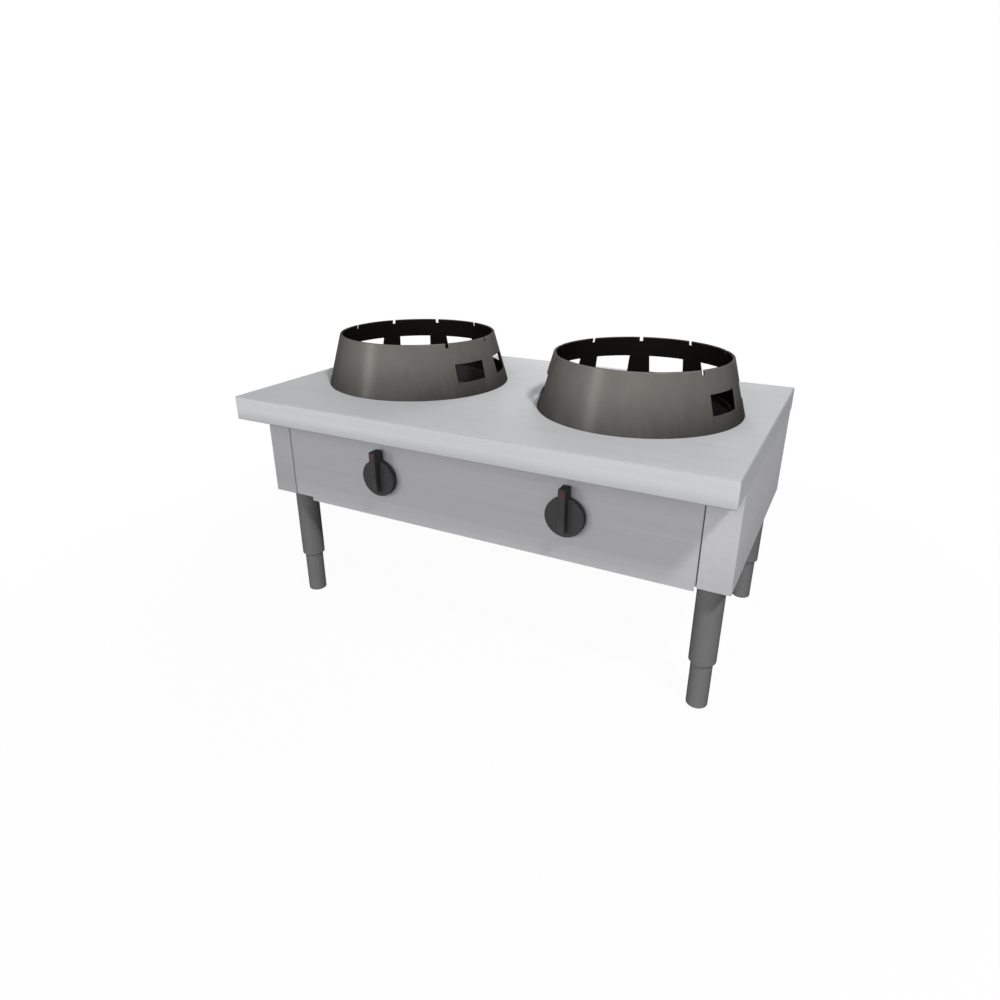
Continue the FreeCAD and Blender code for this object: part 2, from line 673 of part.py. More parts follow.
def burner_bowl(side):
    """Pressed spill bowl under the worktop, with air slots and a raised hole for the burner."""
    centre = vec(side * burner_x, 0, 0)
    wall_slope = BOWL_TAPER / BOWL_DEPTH
    bowl = turned([
        (well_radius, worktop_under), (well_radius + BOWL_FLANGE, worktop_under),
        (well_radius + BOWL_FLANGE, worktop_under - SHEET), (well_radius + SHEET, worktop_under - SHEET),
        (bowl_floor_radius + SHEET, bowl_floor), (BOWL_HOLE_RADIUS, bowl_floor),
        (BOWL_HOLE_RADIUS, bowl_floor + BOWL_LIP), (BOWL_HOLE_RADIUS + SHEET, bowl_floor + BOWL_LIP),
        (BOWL_HOLE_RADIUS + SHEET, bowl_floor + SHEET),
        (bowl_floor_radius + wall_slope * SHEET, bowl_floor + SHEET),
    ], centre)
    slot = block(
        centre.x - AIR_SLOT_WIDTH / 2, centre.x + AIR_SLOT_WIDTH / 2,
        BOWL_HOLE_RADIUS, well_radius + BOWL_FLANGE,
        bowl_floor + AIR_SLOT_RISE, bowl_floor + AIR_SLOT_RISE + AIR_SLOT_HEIGHT)
    cuts = [around(slot, centre, 360 * i / AIR_SLOT_COUNT) for i in range(AIR_SLOT_COUNT)]
    for place in pilot_places(side):
        low = place + Z_AXIS * (bowl_floor - OVERSHOOT)
        cuts.append(rod(PILOT_RADIUS + HOLE_CLEARANCE, low, low + Z_AXIS * 2 * OVERSHOOT))
    return bowl.cut(cuts)


def burner_casting(side):
    """Cast iron burner: bell mouth, mixing tube, elbow and dished head, on a bolted foot."""
    axis = vec(side * burner_x, 0, knob_z)
    mouth = axis + Y_AXIS * mouth_y
    mixer_length = -mouth_y
    mixer = turned([
        (0, 0), (BELL_RADIUS, 0), (MIXER_RADIUS, BELL_LENGTH),
        (MIXER_RADIUS, mixer_length), (0, mixer_length),
    ], mouth, Y_AXIS)
    throat_top = rim_z - HEAD_DEPTH
    head = turned([
        (0, knob_z), (THROAT_RADIUS, knob_z), (THROAT_RADIUS, throat_top),
        (BURNER_RADIUS, rim_z - LUG_SET_DOWN - LUG_HEIGHT), (BURNER_RADIUS, rim_z), (0, rim_z),
    ], vec(axis.x, 0, 0))
    elbow = Part.makeSphere(THROAT_RADIUS, axis)
    pad_half = FOOT_PAD_LENGTH / 2
    foot = block(
        axis.x - pad_half, axis.x + pad_half, -RAIL_WIDTH / 2, RAIL_WIDTH / 2, rail_top, rail_top + FOOT_PAD)
    saddle = block(
        axis.x - MIXER_RADIUS, axis.x + MIXER_RADIUS, -RAIL_WIDTH / 2, RAIL_WIDTH / 2, rail_top, knob_z)
    under_foot = block(
        axis.x - pad_half, axis.x + pad_half, -RAIL_WIDTH, RAIL_WIDTH, rail_top - THROAT_RADIUS, rail_top)

    lug_reach = BURNER_RADIUS + PILOT_OUT + LUG_MARGIN
    lug = block(
        axis.x - LUG_WIDTH / 2, axis.x + LUG_WIDTH / 2, -lug_reach, -BURNER_RADIUS / 2, lug_bottom, lug_top)
    lug = around(lug, axis, -side * PILOT_ANGLE)

    arm_out = BELL_RADIUS - BRIDGE_BAR / 2
    bar_front = bridge_y - BRIDGE_BAR
    low = knob_z - BRIDGE_WIDTH / 2
    high = knob_z + BRIDGE_WIDTH / 2
    bridge = [block(axis.x - arm_out, axis.x + arm_out, bar_front, bridge_y, low, high)]
    for way in (-1, 1):
        x = axis.x + way * arm_out
        bridge.append(block(
            x - BRIDGE_BAR / 2, x + BRIDGE_BAR / 2, bar_front, mouth_y + BELL_LENGTH / 2, low, high))

    cuts = [
        under_foot,
        turned([
            (0, 0), (BELL_RADIUS - BRIDGE_BAR, 0), (MIXER_BORE, BELL_LENGTH),
            (MIXER_BORE, mixer_length), (0, mixer_length),
        ], mouth, Y_AXIS),
        rod(INJECTOR_RADIUS + HOLE_CLEARANCE, vec(axis.x, bar_front, knob_z), mouth),
    ]
    radii = (PILOT_RADIUS, THERMOCOUPLE_RADIUS)
    for place, radius in zip(pilot_places(side), radii):
        hole_low = place + Z_AXIS * (lug_bottom - OVERSHOOT)
        cuts.append(rod(radius + HOLE_CLEARANCE, hole_low, place + Z_AXIS * (lug_top + OVERSHOOT)))
    for seat in burner_bolt_seats:
        cuts.append(rod(BURNER_BOLT_RADIUS + HOLE_CLEARANCE, seat - Z_AXIS * OVERSHOOT, seat))
    return joined([mixer, elbow, head, foot, saddle, lug] + bridge).cut(cuts)


def burner_cap(side):
    """Brass cap with a ring of flame ports cut into its lower edge and an air hole in its middle."""
    centre = vec(side * burner_x, 0, 0)
    cap = turned([
        (CAP_EYE_RADIUS, rim_z), (BURNER_RADIUS, rim_z), (BURNER_RADIUS, rim_z + CAP_SKIRT),
        ((BURNER_RADIUS + CAP_EYE_RADIUS) / 2, cap_top), (CAP_EYE_RADIUS, rim_z + CAP_SKIRT),
    ], centre)
    port = block(
        centre.x - PORT_WIDTH / 2, centre.x + PORT_WIDTH / 2,
        BURNER_RADIUS - PORT_DEPTH, BURNER_RADIUS + OVERSHOOT,
        rim_z + (CAP_SKIRT - PORT_HEIGHT) / 2, rim_z + (CAP_SKIRT + PORT_HEIGHT) / 2)
    return cap.cut([around(port, centre, 360 * i / PORT_COUNT) for i in range(PORT_COUNT)])


def burner_bolt(seat):
    tip = seat - Z_AXIS * (FOOT_PAD + RAIL_HEIGHT)
    head = prism(BOLT_HEAD_RADIUS, 6, seat, seat + Z_AXIS * BOLT_HEAD)
    return joined([head, rod(BURNER_BOLT_RADIUS, tip, seat)])


def injector(side):
    """Brass gas jet, screwed through the bridge and aimed into the bell mouth."""
    front = vec(side * burner_x, injector_front, knob_z)
    seat = vec(front.x, bridge_y - BRIDGE_BAR, knob_z)
    shank_end = vec(front.x, mouth_y - JET_LENGTH / 2, knob_z)
    nozzle = Part.makeCone(INJECTOR_RADIUS, INJECTOR_RADIUS / 2, JET_LENGTH, shank_end, Y_AXIS)
    return joined([prism(INJECTOR_HEX, 6, front, seat), rod(INJECTOR_RADIUS, seat, shank_end), nozzle])


def air_shutter(side):
    """Round shutter that slides on the injector and sets how much air the bell mouth draws."""
    front = vec(side * burner_x, bridge_y + SHUTTER_SET_IN, knob_z)
    back = front + Y_AXIS * SHUTTER_SHEET
    return rod(SHUTTER_RADIUS, front, back).cut(rod(INJECTOR_RADIUS + RUNNING_FIT, front, back))


def tap_port(side, way):
    """Top of a tap's small port: the pilot's is on the outer side, the thermocouple's on the inner."""
    return vec(side * (knob_x + way * PORT_BOSS_SPREAD), tap_y, knob_z + PORT_BOSS_RISE)


def small_tube(place, port, radius):
    """Thin tube down from the lug, level across to the tap, and down into its port."""
    level = knob_z + TUBE_RISE
    top = place + Z_AXIS * (lug_bottom - COLLAR_HEIGHT)
    points = [top, vec(top.x, top.y, level), vec(port.x, port.y, level), port]
    return bent_tube(points, TUBE_BEND, radius)


def lug_fitting(place, radius, rise):
    """Round stem through the lug, held by a collar above it and a nut below."""
    lower = place + Z_AXIS * lug_bottom
    upper = place + Z_AXIS * lug_top
    rim = radius + COLLAR_RIM
    return joined([
        rod(radius, lower - Z_AXIS * COLLAR_HEIGHT, upper + Z_AXIS * rise),
        rod(rim, upper, upper + Z_AXIS * COLLAR_HEIGHT),
        prism(rim, 6, lower - Z_AXIS * COLLAR_HEIGHT, lower),
    ])


def pilot(side):
    """Pilot flame with its hooded tip and its gas tube from the tap."""
    place = pilot_places(side)[0]
    stem = lug_fitting(place, PILOT_RADIUS, PILOT_RISE)
    tip = place + Z_AXIS * (lug_top + PILOT_RISE)
    hood_base = tip - Z_AXIS * COLLAR_HEIGHT
    flame_slot = block(
        tip.x - PILOT_RADIUS / 2, tip.x + PILOT_RADIUS / 2,
        tip.y, tip.y + PILOT_RADIUS + OVERSHOOT, hood_base.z, tip.z)
    return joined([stem, small_tube(place, tap_port(side, 1), PILOT_TUBE_RADIUS)]).cut(flame_slot)


def thermocouple(side):
    """Flame sensor with its lead to the tap."""
    place = pilot_places(side)[1]
    stem = lug_fitting(place, THERMOCOUPLE_RADIUS, THERMOCOUPLE_RISE)
    return joined([stem, small_tube(place, tap_port(side, -1), LEAD_RADIUS)])


def gas_manifold():
    """Pipe under both taps, with a welded cap at its left end and a feed hole below each tap."""
    left = vec(-manifold_half, tap_y, manifold_z)
    right = vec(manifold_half, tap_y, manifold_z)
    bore_start = left + X_AXIS * SHEET
    return rod(PIPE_RADIUS, left, right).cut(rod(PIPE_BORE, bore_start, right + X_AXIS * OVERSHOOT))


def manifold_union():
    """Sleeve nut that joins the manifold to the supply pipe."""
    start = vec(manifold_half - UNION_LENGTH / 2, tap_y, manifold_z)
    end = start + X_AXIS * UNION_LENGTH
    return prism(UNION_RADIUS, 6, start, end).cut(rod(PIPE_RADIUS + SEAT_GAP, start, end))


def supply_pipe():
    """Pipe from the manifold round to the gas inlet at the back."""
    points = [
        vec(manifold_half, tap_y, manifold_z),
        vec(supply_x, tap_y, manifold_z),
        vec(supply_x, body_back - INLET_THREAD_LENGTH, manifold_z),
    ]
    return bent_tube(points, PIPE_BEND, PIPE_RADIUS).cut(bent_tube(points, PIPE_BEND, PIPE_BORE))


def gas_inlet():
    """Socket on the supply pipe, flush with the back, with a female pipe thread for the gas hose."""
    mouth = vec(supply_x, body_back, manifold_z)
    end = mouth - Y_AXIS * INLET_LENGTH
    thread_end = mouth - Y_AXIS * INLET_THREAD_LENGTH
    return rod(INLET_RADIUS, end, mouth).cut([
        rod(INLET_THREAD_RADIUS, thread_end, mouth),
        rod(PIPE_RADIUS + SEAT_GAP, end, thread_end),
    ])


def manifold_bracket(x):
    """Cast bracket round the manifold, with a foot on the front rail at each side."""
    start = vec(x - BRACKET_WIDTH / 2, tap_y, manifold_z)
    end = start + X_AXIS * BRACKET_WIDTH
    outside = PIPE_RADIUS + SEAT_GAP + BRACKET_WALL
    post = block(start.x, end.x, tap_y - outside, tap_y + outside, front_rail_top, manifold_z)
    foot = block(
        start.x, end.x, tap_y - bracket_reach, tap_y + bracket_reach,
        front_rail_top, front_rail_top + BRACKET_FOOT)
    return joined([rod(outside, start, end), post, foot]).cut(rod(PIPE_RADIUS + SEAT_GAP, start, end))


def gas_tap(side):
    """Brass tap: bonnet round the spindle, body, side outlet, and a saddle that clamps it on the manifold."""
    axis = vec(side * knob_x, 0, knob_z)
    outward = X_AXIS * side
    middle = axis + Y_AXIS * tap_y

    def along(radius, y0, y1):
        return rod(radius, axis + Y_AXIS * y0, axis + Y_AXIS * y1)

    saddle_bottom = manifold_z - SADDLE_DROP
    saddle_top = manifold_z + PIPE_RADIUS + SADDLE_DROP
    pieces = [
        along(BONNET_RADIUS, bonnet_front, tap_front),
        along(TAP_RADIUS, tap_front, tap_back),
        along(TAP_END_RADIUS, tap_back, tap_back + TAP_END),
        rod(INLET_STUB_RADIUS, vec(axis.x, tap_y, saddle_bottom), middle),
        rod(OUTLET_RADIUS, middle, middle + outward * OUTLET_LENGTH),
        block(
            axis.x - SADDLE_WIDTH / 2, axis.x + SADDLE_WIDTH / 2,
            tap_y - SADDLE_DEPTH / 2, tap_y + SADDLE_DEPTH / 2, saddle_bottom, saddle_top),
    ]
    for way in (-1, 1):
        port = tap_port(side, way)
        pieces.append(rod(PORT_BOSS_RADIUS, vec(port.x, port.y, knob_z), port))
    pipe_start = vec(axis.x - SADDLE_WIDTH, tap_y, manifold_z)
    chamber_start = bonnet_front + BONNET_FACE
    socket_end = tap_front + TAP_SOCKET + PUSH_TRAVEL + SEAT_GAP
    return joined(pieces).cut([
        along(BONNET_BORE, chamber_start, tap_front),
        along(SPINDLE_RADIUS + RUNNING_FIT, bonnet_front - OVERSHOOT, socket_end),
        rod(PIPE_RADIUS + SEAT_GAP, pipe_start, pipe_start + X_AXIS * 2 * SADDLE_WIDTH),
        block(
            axis.x - SADDLE_WIDTH, axis.x + SADDLE_WIDTH, tap_y - PIPE_RADIUS - SEAT_GAP,
            tap_y + PIPE_RADIUS + SEAT_GAP, saddle_bottom - OVERSHOOT, manifold_z),
    ])


def feed_tube(side):
    """Gas tube from the tap's side outlet to the injector."""
    middle = vec(side * knob_x, tap_y, knob_z)
    injector_end = vec(side * burner_x, injector_front, knob_z)
    return bent_tube([
        middle + X_AXIS * side * OUTLET_LENGTH, vec(injector_end.x, tap_y, knob_z), injector_end,
    ], FEED_BEND, FEED_RADIUS)


def tap_thrust_ring(side):
    """Ring inside the bonnet that the return spring presses on; it slides with the push and doesn't turn."""
    front = vec(side * knob_x, ring_rest, knob_z)
    back = front + Y_AXIS * THRUST_RING
    return rod(THRUST_RING_RADIUS, front, back).cut(rod(SPINDLE_RADIUS + RUNNING_FIT, front, back))


def spindle_flat(side, gap):
    """Cutter for the flat on the spindle's outer end, on its upper side."""
    x = side * knob_x
    low = knob_z + SPINDLE_RADIUS - SPINDLE_FLAT + gap
    half = SPINDLE_RADIUS + OVERSHOOT
    return block(x - half, x + half, spindle_front - OVERSHOOT, knob_back, low, knob_z + half)


def tap_spindle(side):
    """Spindle from the knob to the tap's plug, with a shoulder in front of the thrust ring."""
    axis = vec(side * knob_x, 0, knob_z)
    front = axis + Y_AXIS * spindle_front
    shoulder_back = axis + Y_AXIS * (ring_rest - SEAT_GAP)
    end = axis + Y_AXIS * (tap_front + TAP_SOCKET)
    shoulder = rod(SHOULDER_RADIUS, shoulder_back - Y_AXIS * (SHOULDER - SEAT_GAP), shoulder_back)
    return joined([rod(SPINDLE_RADIUS, front, end), shoulder]).cut(spindle_flat(side, 0))


def knob(side):
    """Moulded disc with a straight grip across it, whose nose points past the disc's edge."""
    axis = vec(side * knob_x, 0, knob_z)
    disc = turned([
        (0, 0), (KNOB_RADIUS - KNOB_ROUND, 0), (KNOB_RADIUS, KNOB_ROUND),
        (KNOB_RADIUS, KNOB_DISC), (0, KNOB_DISC),
    ], axis + Y_AXIS * knob_face, Y_AXIS)
    half = GRIP_WIDTH / 2
    grip = block(
        axis.x - half, axis.x + half, grip_face, knob_back,
        knob_z - KNOB_RADIUS + GRIP_TAIL, knob_z + grip_tip)
    edges = [e for e in grip.Edges if e.BoundBox.YMax < knob_back]
    grip = grip.makeFillet(GRIP_ROUND, edges)
    bore = rod(SPINDLE_RADIUS + RUNNING_FIT, axis + Y_AXIS * spindle_front, axis + Y_AXIS * knob_back)
    bore = bore.cut(spindle_flat(side, RUNNING_FIT))
    return joined([disc, grip]).cut([bore, mark_body(side, SEAT_GAP / 2)])


def mark_body(side, gap):
    """Inlay at the nose of the grip's face, or, with a gap, the pocket that it sits in."""
    x = side * knob_x
    top = knob_z + grip_tip - MARK_SET_IN
    half = MARK_WIDTH / 2 + gap
    return block(x - half, x + half, grip_face, grip_face + MARK_DEPTH, top - MARK_LENGTH - gap, top + gap)


nodes = {
    "worktop": worktop(),
    "front_panel": front_panel(),
    "back_panel": back_panel(),
    "front_rail": front_rail(),
    "burner_rail": burner_rail(),
    "leg_nuts": Part.makeCompound([leg_nut(place) for place in leg_places.values()]),
    "leg_bushes": Part.makeCompound([leg_bush(place) for place in leg_places.values()]),
    "leg_lock_screws": Part.makeCompound([lock_screw(place) for place in leg_places.values()]),
    "worktop_screws": Part.makeCompound([screw(Z_AXIS, seat) for seat in worktop_screw_seats]),
    "back_panel_screws": Part.makeCompound([screw(-Y_AXIS, seat) for seat in back_screw_seats]),
    "front_panel_screws": Part.makeCompound([screw(Z_AXIS, seat) for seat in front_screw_seats]),
    "burner_bolts": Part.makeCompound([burner_bolt(seat) for seat in burner_bolt_seats]),
    "gas_manifold": gas_manifold(),
    "manifold_union": manifold_union(),
    "manifold_brackets": Part.makeCompound([manifold_bracket(side * bracket_x) for side in SIDES.values()]),
    "supply_pipe": supply_pipe(),
    "gas_inlet": gas_inlet(),
}
for corner, place in leg_places.items():
    nodes[f"leg_tube_{corner}"] = leg_tube(place)
    nodes[f"leg_foot_{corner}"] = leg_foot(place)
for name, side in SIDES.items():
    nodes[f"{name}_side_panel"] = side_panel(side)
    nodes[f"wok_ring_{name}"] = wok_ring(side)
    nodes[f"burner_bowl_{name}"] = burner_bowl(side)
    nodes[f"burner_casting_{name}"] = burner_casting(side)
    nodes[f"burner_cap_{name}"] = burner_cap(side)
    nodes[f"injector_{name}"] = injector(side)
    nodes[f"air_shutter_{name}"] = air_shutter(side)
    nodes[f"pilot_{name}"] = pilot(side)
    nodes[f"thermocouple_{name}"] = thermocouple(side)
    nodes[f"gas_tap_{name}"] = gas_tap(side)
    nodes[f"feed_tube_{name}"] = feed_tube(side)
    nodes[f"tap_thrust_ring_{name}"] = tap_thrust_ring(side)
    nodes[f"tap_spindle_{name}"] = tap_spindle(side)
    nodes[f"knob_{name}"] = knob(side)
    nodes[f"knob_mark_{name}"] = mark_body(side, 0)

os.makedirs("parts", exist_ok=True)
for name, shape in nodes.items():
    shape.exportStep(f"parts/{name}.step")
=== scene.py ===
import json
import math

import bmesh
import bpy
import numpy as np
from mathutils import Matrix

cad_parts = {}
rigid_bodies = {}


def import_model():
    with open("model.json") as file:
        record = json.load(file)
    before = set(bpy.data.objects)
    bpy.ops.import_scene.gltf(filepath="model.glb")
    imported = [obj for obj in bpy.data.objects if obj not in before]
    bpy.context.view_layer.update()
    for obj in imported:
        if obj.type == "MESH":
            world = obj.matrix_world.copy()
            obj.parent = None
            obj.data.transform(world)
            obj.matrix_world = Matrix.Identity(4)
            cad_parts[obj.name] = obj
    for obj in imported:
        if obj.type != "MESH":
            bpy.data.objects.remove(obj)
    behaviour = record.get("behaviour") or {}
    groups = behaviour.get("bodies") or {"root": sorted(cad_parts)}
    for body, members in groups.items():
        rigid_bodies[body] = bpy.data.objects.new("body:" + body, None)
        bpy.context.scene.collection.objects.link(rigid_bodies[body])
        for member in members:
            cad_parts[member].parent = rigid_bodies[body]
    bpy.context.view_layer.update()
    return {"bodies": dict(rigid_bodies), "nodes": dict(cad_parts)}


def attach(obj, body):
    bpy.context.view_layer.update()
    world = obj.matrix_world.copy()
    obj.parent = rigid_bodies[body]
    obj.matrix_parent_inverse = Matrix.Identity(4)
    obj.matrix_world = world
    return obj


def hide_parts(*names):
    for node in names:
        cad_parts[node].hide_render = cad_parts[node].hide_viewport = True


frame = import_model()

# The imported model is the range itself: metres, +Z up, the cook stands at -Y.
packed = set(frame["nodes"].values()) | set(frame["bodies"].values())
for stray in [o for o in bpy.data.objects if o not in packed]:
    bpy.data.objects.remove(stray)


# Side panels, posts and rails: stainless sheet, 1.5 mm, brushed along its length and folded on a press.
# Each side panel turns the front corner into a post and carries two legs on its bottom flange.
# The rails are spot-welded between the sides and hold the front panel, the manifold and the burners.
class Socket:
    """Output of a shader node. Operators between sockets and numbers add Math nodes."""

    def __init__(self, tree, out):
        self.tree = tree
        self.out = out

    def add(self, kind, settings=None, inputs=None, output=0):
        """Adds a node of any kind: its settings first, then the values or links of its sockets."""
        node = self.tree.nodes.new(kind)
        for name, value in (settings or {}).items():
            if name == "stops":
                elements = node.color_ramp.elements
                while len(elements) < len(value):
                    elements.new(1.0)
                for element, (position, colour) in zip(elements, value):
                    element.position = position
                    element.color = (*colour, 1.0)
            else:
                setattr(node, name, value)
        for name, value in (inputs or {}).items():
            if isinstance(value, Socket):
                self.tree.links.new(value.out, node.inputs[name])
            else:
                node.inputs[name].default_value = value
        return Socket(self.tree, node.outputs[output])

    def math(self, operation, first, second=0.0):
        """Adds a Math node between two values, sockets or numbers."""
        return self.add("ShaderNodeMath", {"operation": operation}, {0: first, 1: second})

    def __add__(self, other):
        return self.math("ADD", self, other)

    def __radd__(self, other):
        return self.math("ADD", other, self)

    def __sub__(self, other):
        return self.math("SUBTRACT", self, other)

    def __rsub__(self, other):
        return self.math("SUBTRACT", other, self)

    def __mul__(self, other):
        return self.math("MULTIPLY", self, other)

    def __rmul__(self, other):
        return self.math("MULTIPLY", other, self)

    def __pow__(self, other):
        return self.math("POWER", self, other)

    def __abs__(self):
        return self.math("ABSOLUTE", self)

    def axis(self, index):
        """One coordinate of a vector."""
        return self.add("ShaderNodeSeparateXYZ", None, {"Vector": self}, index)

    def normal(self):
        """The way that the surface faces, as a vector of length 1."""
        return self.add("ShaderNodeNewGeometry", output=1)

    def step(self, low, high):
        """0 below low and 1 above high, smooth between them; the other way round where low is larger."""
        return self.add(
            "ShaderNodeMapRange", {"interpolation_type": "SMOOTHSTEP"},
            {"Value": self, "From Min": low, "From Max": high})

    def stretched(self, cells):
        """Coordinates counted in cells: so many in a metre, one number for all axes or one for each."""
        scale = (cells, cells, cells) if isinstance(cells, float) else cells
        return self.add("ShaderNodeMapping", None, {"Vector": self, "Scale": scale})

    def noise(self, cells, detail=2.0, rough=0.5):
        """Noise over these coordinates, with so many cells in a metre."""
        return self.add(
            "ShaderNodeTexNoise", None,
            {"Vector": self.stretched(cells), "Scale": 1.0, "Detail": detail, "Roughness": rough})

    def colour(self, low, high):
        """Colour from low, where this value is 0, to high, where it is 1."""
        inputs = {"Factor": self}
        for index, tone in ((6, low), (7, high)):
            inputs[index] = tone if isinstance(tone, Socket) else (*tone, 1.0)
        return self.add("ShaderNodeMix", {"data_type": "RGBA"}, inputs, 2)

    def bump(self, strength, depth):
        """Normals of a surface that this value raises by up to depth metres."""
        return self.add("ShaderNodeBump", None, {"Strength": strength, "Distance": depth, "Height": self})


def finish(name, fixed, varying):
    """New material. fixed holds its constant sockets.

    varying takes the Object coordinates and gives the sockets that change over the surface.
    """
    material = bpy.data.materials.new(name)
    material.use_nodes = True
    tree = material.node_tree
    shader = tree.nodes["Principled BSDF"]
    for socket, value in fixed.items():
        shader.inputs[socket].default_value = value
    place = Socket(tree, tree.nodes.new("ShaderNodeTexCoord").outputs["Object"])
    for socket, value in varying(place).items():
        tree.links.new(value.out, shader.inputs[socket])
    return material


def dress(material, *names):
    """Puts a material on CAD nodes, which keep their own mesh."""
    for name in names:
        slots = frame["nodes"][name].data.materials
        slots.clear()
        slots.append(material)


FINE_ACROSS, FINE_ALONG = 520.0, 4.0
BROAD_ACROSS, BROAD_ALONG = 85.0, 1.2


def brushed(place, grain):
    """Scratches along one axis, fine and broad, as two values round a half.

    Each is noise with many cells in a metre across the grain and few along it.
    """
    fine = [FINE_ACROSS] * 3
    broad = [BROAD_ACROSS] * 3
    fine[grain] = FINE_ALONG
    broad[grain] = BROAD_ALONG
    return place.noise(fine, 3.0), place.noise(broad, 2.0)


STEEL_GLOSS = {"Metallic": 0.15, "Specular IOR Level": 0.0}
SCRATCH_BUMP = (0.25, 0.00004)
LOWER_SHADE_TOP, LOWER_SHADE_BOTTOM = 0.37, 0.26


def steel_sheet(name, grain, dark, light, lower_shade=0.0):
    """Brushed stainless sheet: scratches, soft smears, and painted shade that darkens it towards its lower
    edge.

    The tone is a weighted sum of scratches and smears, less the painted shade, from the dark colour to the
    light.
    """
    def surface(place):
        fine, broad = brushed(place, grain)
        smear = place.noise(4.0, 4.0, 0.6)
        # Painted shade: the sheet darkens towards its lower edge by the given share.
        shaded_low = place.axis(2).step(LOWER_SHADE_TOP, LOWER_SHADE_BOTTOM) * lower_shade
        return {
            "Base Color": (fine * 0.35 + broad * 0.4 + smear * 0.25 - shaded_low).colour(dark, light),
            "Roughness": 0.44 + fine * 0.10 + smear * 0.12,
            "Normal": fine.bump(*SCRATCH_BUMP),
        }
    return finish(name, STEEL_GLOSS, surface)


# Share of painted shade at the side panels' lower edges.
SIDE_LOWER_SHADE = 0.35
# Painted light: one steel in two tones, the left side darker as painted shade and the right side lighter as
# painted light.
SIDE_STEEL_LIT_AND_SHADED = {
    "left": ((0.460, 0.459, 0.474), (0.625, 0.624, 0.642)),
    "right": ((0.510, 0.511, 0.525), (0.675, 0.676, 0.692)),
}
for side, (dark, light) in SIDE_STEEL_LIT_AND_SHADED.items():
    side_steel_painted_light = steel_sheet(f"stainless_brushed_along_y_painted_light_{side}", 1, dark, light, SIDE_LOWER_SHADE)
    dress(side_steel_painted_light, f"{side}_side_panel")
steel_along_x = steel_sheet(
    "stainless_brushed_along_x", 0, (0.456, 0.455, 0.470), (0.621, 0.620, 0.638))
dress(steel_along_x, "front_rail", "burner_rail")


# Front and back panels: the same sheet, brushed from side to side, folded back along the edges.
# The front panel stands on the front rail between the posts; the vented back is screwed to the sides.
dress(steel_along_x, "front_panel", "back_panel")


# Worktop: one folded pan of 2 mm stainless with welded and ground corners, brushed from side to side.
# Its ends are ground the other way and painted darker as shade; painted shade also darkens its top, its top
# front fold and the lower band of its front, it is dulled round the burners, and it is painted lighter
# towards the left end.
WELL_X = 0.252
WORKTOP_Z, HALF_WIDTH, HALF_DEPTH = 0.500, 0.500, 0.305
EDGE_SHADE_WIDTH, EDGE_SIDE, EDGE_TOP = 0.0035, 0.0010, 0.0015
PAINTED_LIGHT_FROM_X = 0.05
FOLD_SHADE_Z, FOLD_LOW_Z = 0.478, 0.450
HALO_OUT, HALO_IN = 0.265, 0.190
LIP_OUT, LIP_IN = 0.180, 0.171
FACING = (0.6, 0.8)


def from_well(place):
    """Distance from the nearer well's upright axis: the root of the summed squares along X and Y."""
    along = place.axis(1)
    return ((abs(place.axis(0)) - WELL_X) ** 2 + along * along) ** 0.5


def worktop_surface(place):
    """Scratches that turn at the pan's ends, a duller halo round each well, and lips that are sooty and
    painted near-black as the shade inside the rings.

    The tone is a weighted sum of scratches and smears, less the halo, and painted lighter towards the left
    end as painted light.
    The painted shade is the largest of four masks: the top, its edges, the ends and the folds' lower part.
    """
    x, y, z = (place.axis(i) for i in range(3))
    normal = place.normal()
    end = abs(normal.axis(0)).step(*FACING)
    top = normal.axis(2).step(*FACING)
    along_fine, along_broad = brushed(place, 0)
    across_fine, across_broad = brushed(place, 1)
    fine = along_fine * (1 - end) + across_fine * end
    broad = along_broad * (1 - end) + across_broad * end
    smear = place.noise(5.0, 4.0, 0.6)
    reach = from_well(place)
    halo = reach.step(HALO_OUT, HALO_IN) * (0.4 + smear * 0.6)
    # Soot and painted shade: the lips inside the rings are near-black.
    soot = reach.step(LIP_OUT, LIP_IN)
    # Painted shade along the folded edges of the top.
    edge = (
        abs(y).step(HALF_DEPTH - EDGE_SHADE_WIDTH, HALF_DEPTH - EDGE_SIDE)
        + abs(x).step(HALF_WIDTH - EDGE_SHADE_WIDTH, HALF_WIDTH - EDGE_SIDE))
    edge = edge * z.step(WORKTOP_Z - EDGE_SHADE_WIDTH, WORKTOP_Z - EDGE_TOP)
    # Painted shade on the lower band of the front fold.
    low = z.step(FOLD_SHADE_Z, FOLD_LOW_Z)
    # Painted light: the worktop is lighter towards its left end.
    painted_light_left = x.step(PAINTED_LIGHT_FROM_X, -HALF_WIDTH)
    tone = fine * 0.35 + broad * 0.35 + smear * 0.3 - halo * 0.10 + painted_light_left * 0.24
    # Painted shade: the top and the ends are darker, and all four masks darken towards the shaded colour.
    worktop_shade = top * 0.09
    for mask in (edge * 0.6, end * 0.4, low * 0.5):
        worktop_shade = worktop_shade.math("MAXIMUM", worktop_shade, mask)
    clean = tone.colour((0.592, 0.600, 0.611), (0.778, 0.787, 0.800))
    shaded_steel = worktop_shade.colour(clean, (0.396, 0.402, 0.410))
    return {
        "Base Color": soot.colour(shaded_steel, (0.020, 0.019, 0.018)),
        "Roughness": 0.46 + fine * 0.10 + smear * 0.12 + halo * 0.10,
        "Normal": fine.bump(*SCRATCH_BUMP),
    }


dress(finish("worktop_stainless", STEEL_GLOSS | {"Metallic": 0.10}, worktop_surface), "worktop")


# Spill bowls: thin stainless pressings under the wells, open round the burner.
# Use has burnt them brown and black, darkest towards the burner, with crusted spots; they are also painted
# near-black as the shade inside the ring.
BOWL_RIM, BOWL_HOLE = 0.185, 0.050


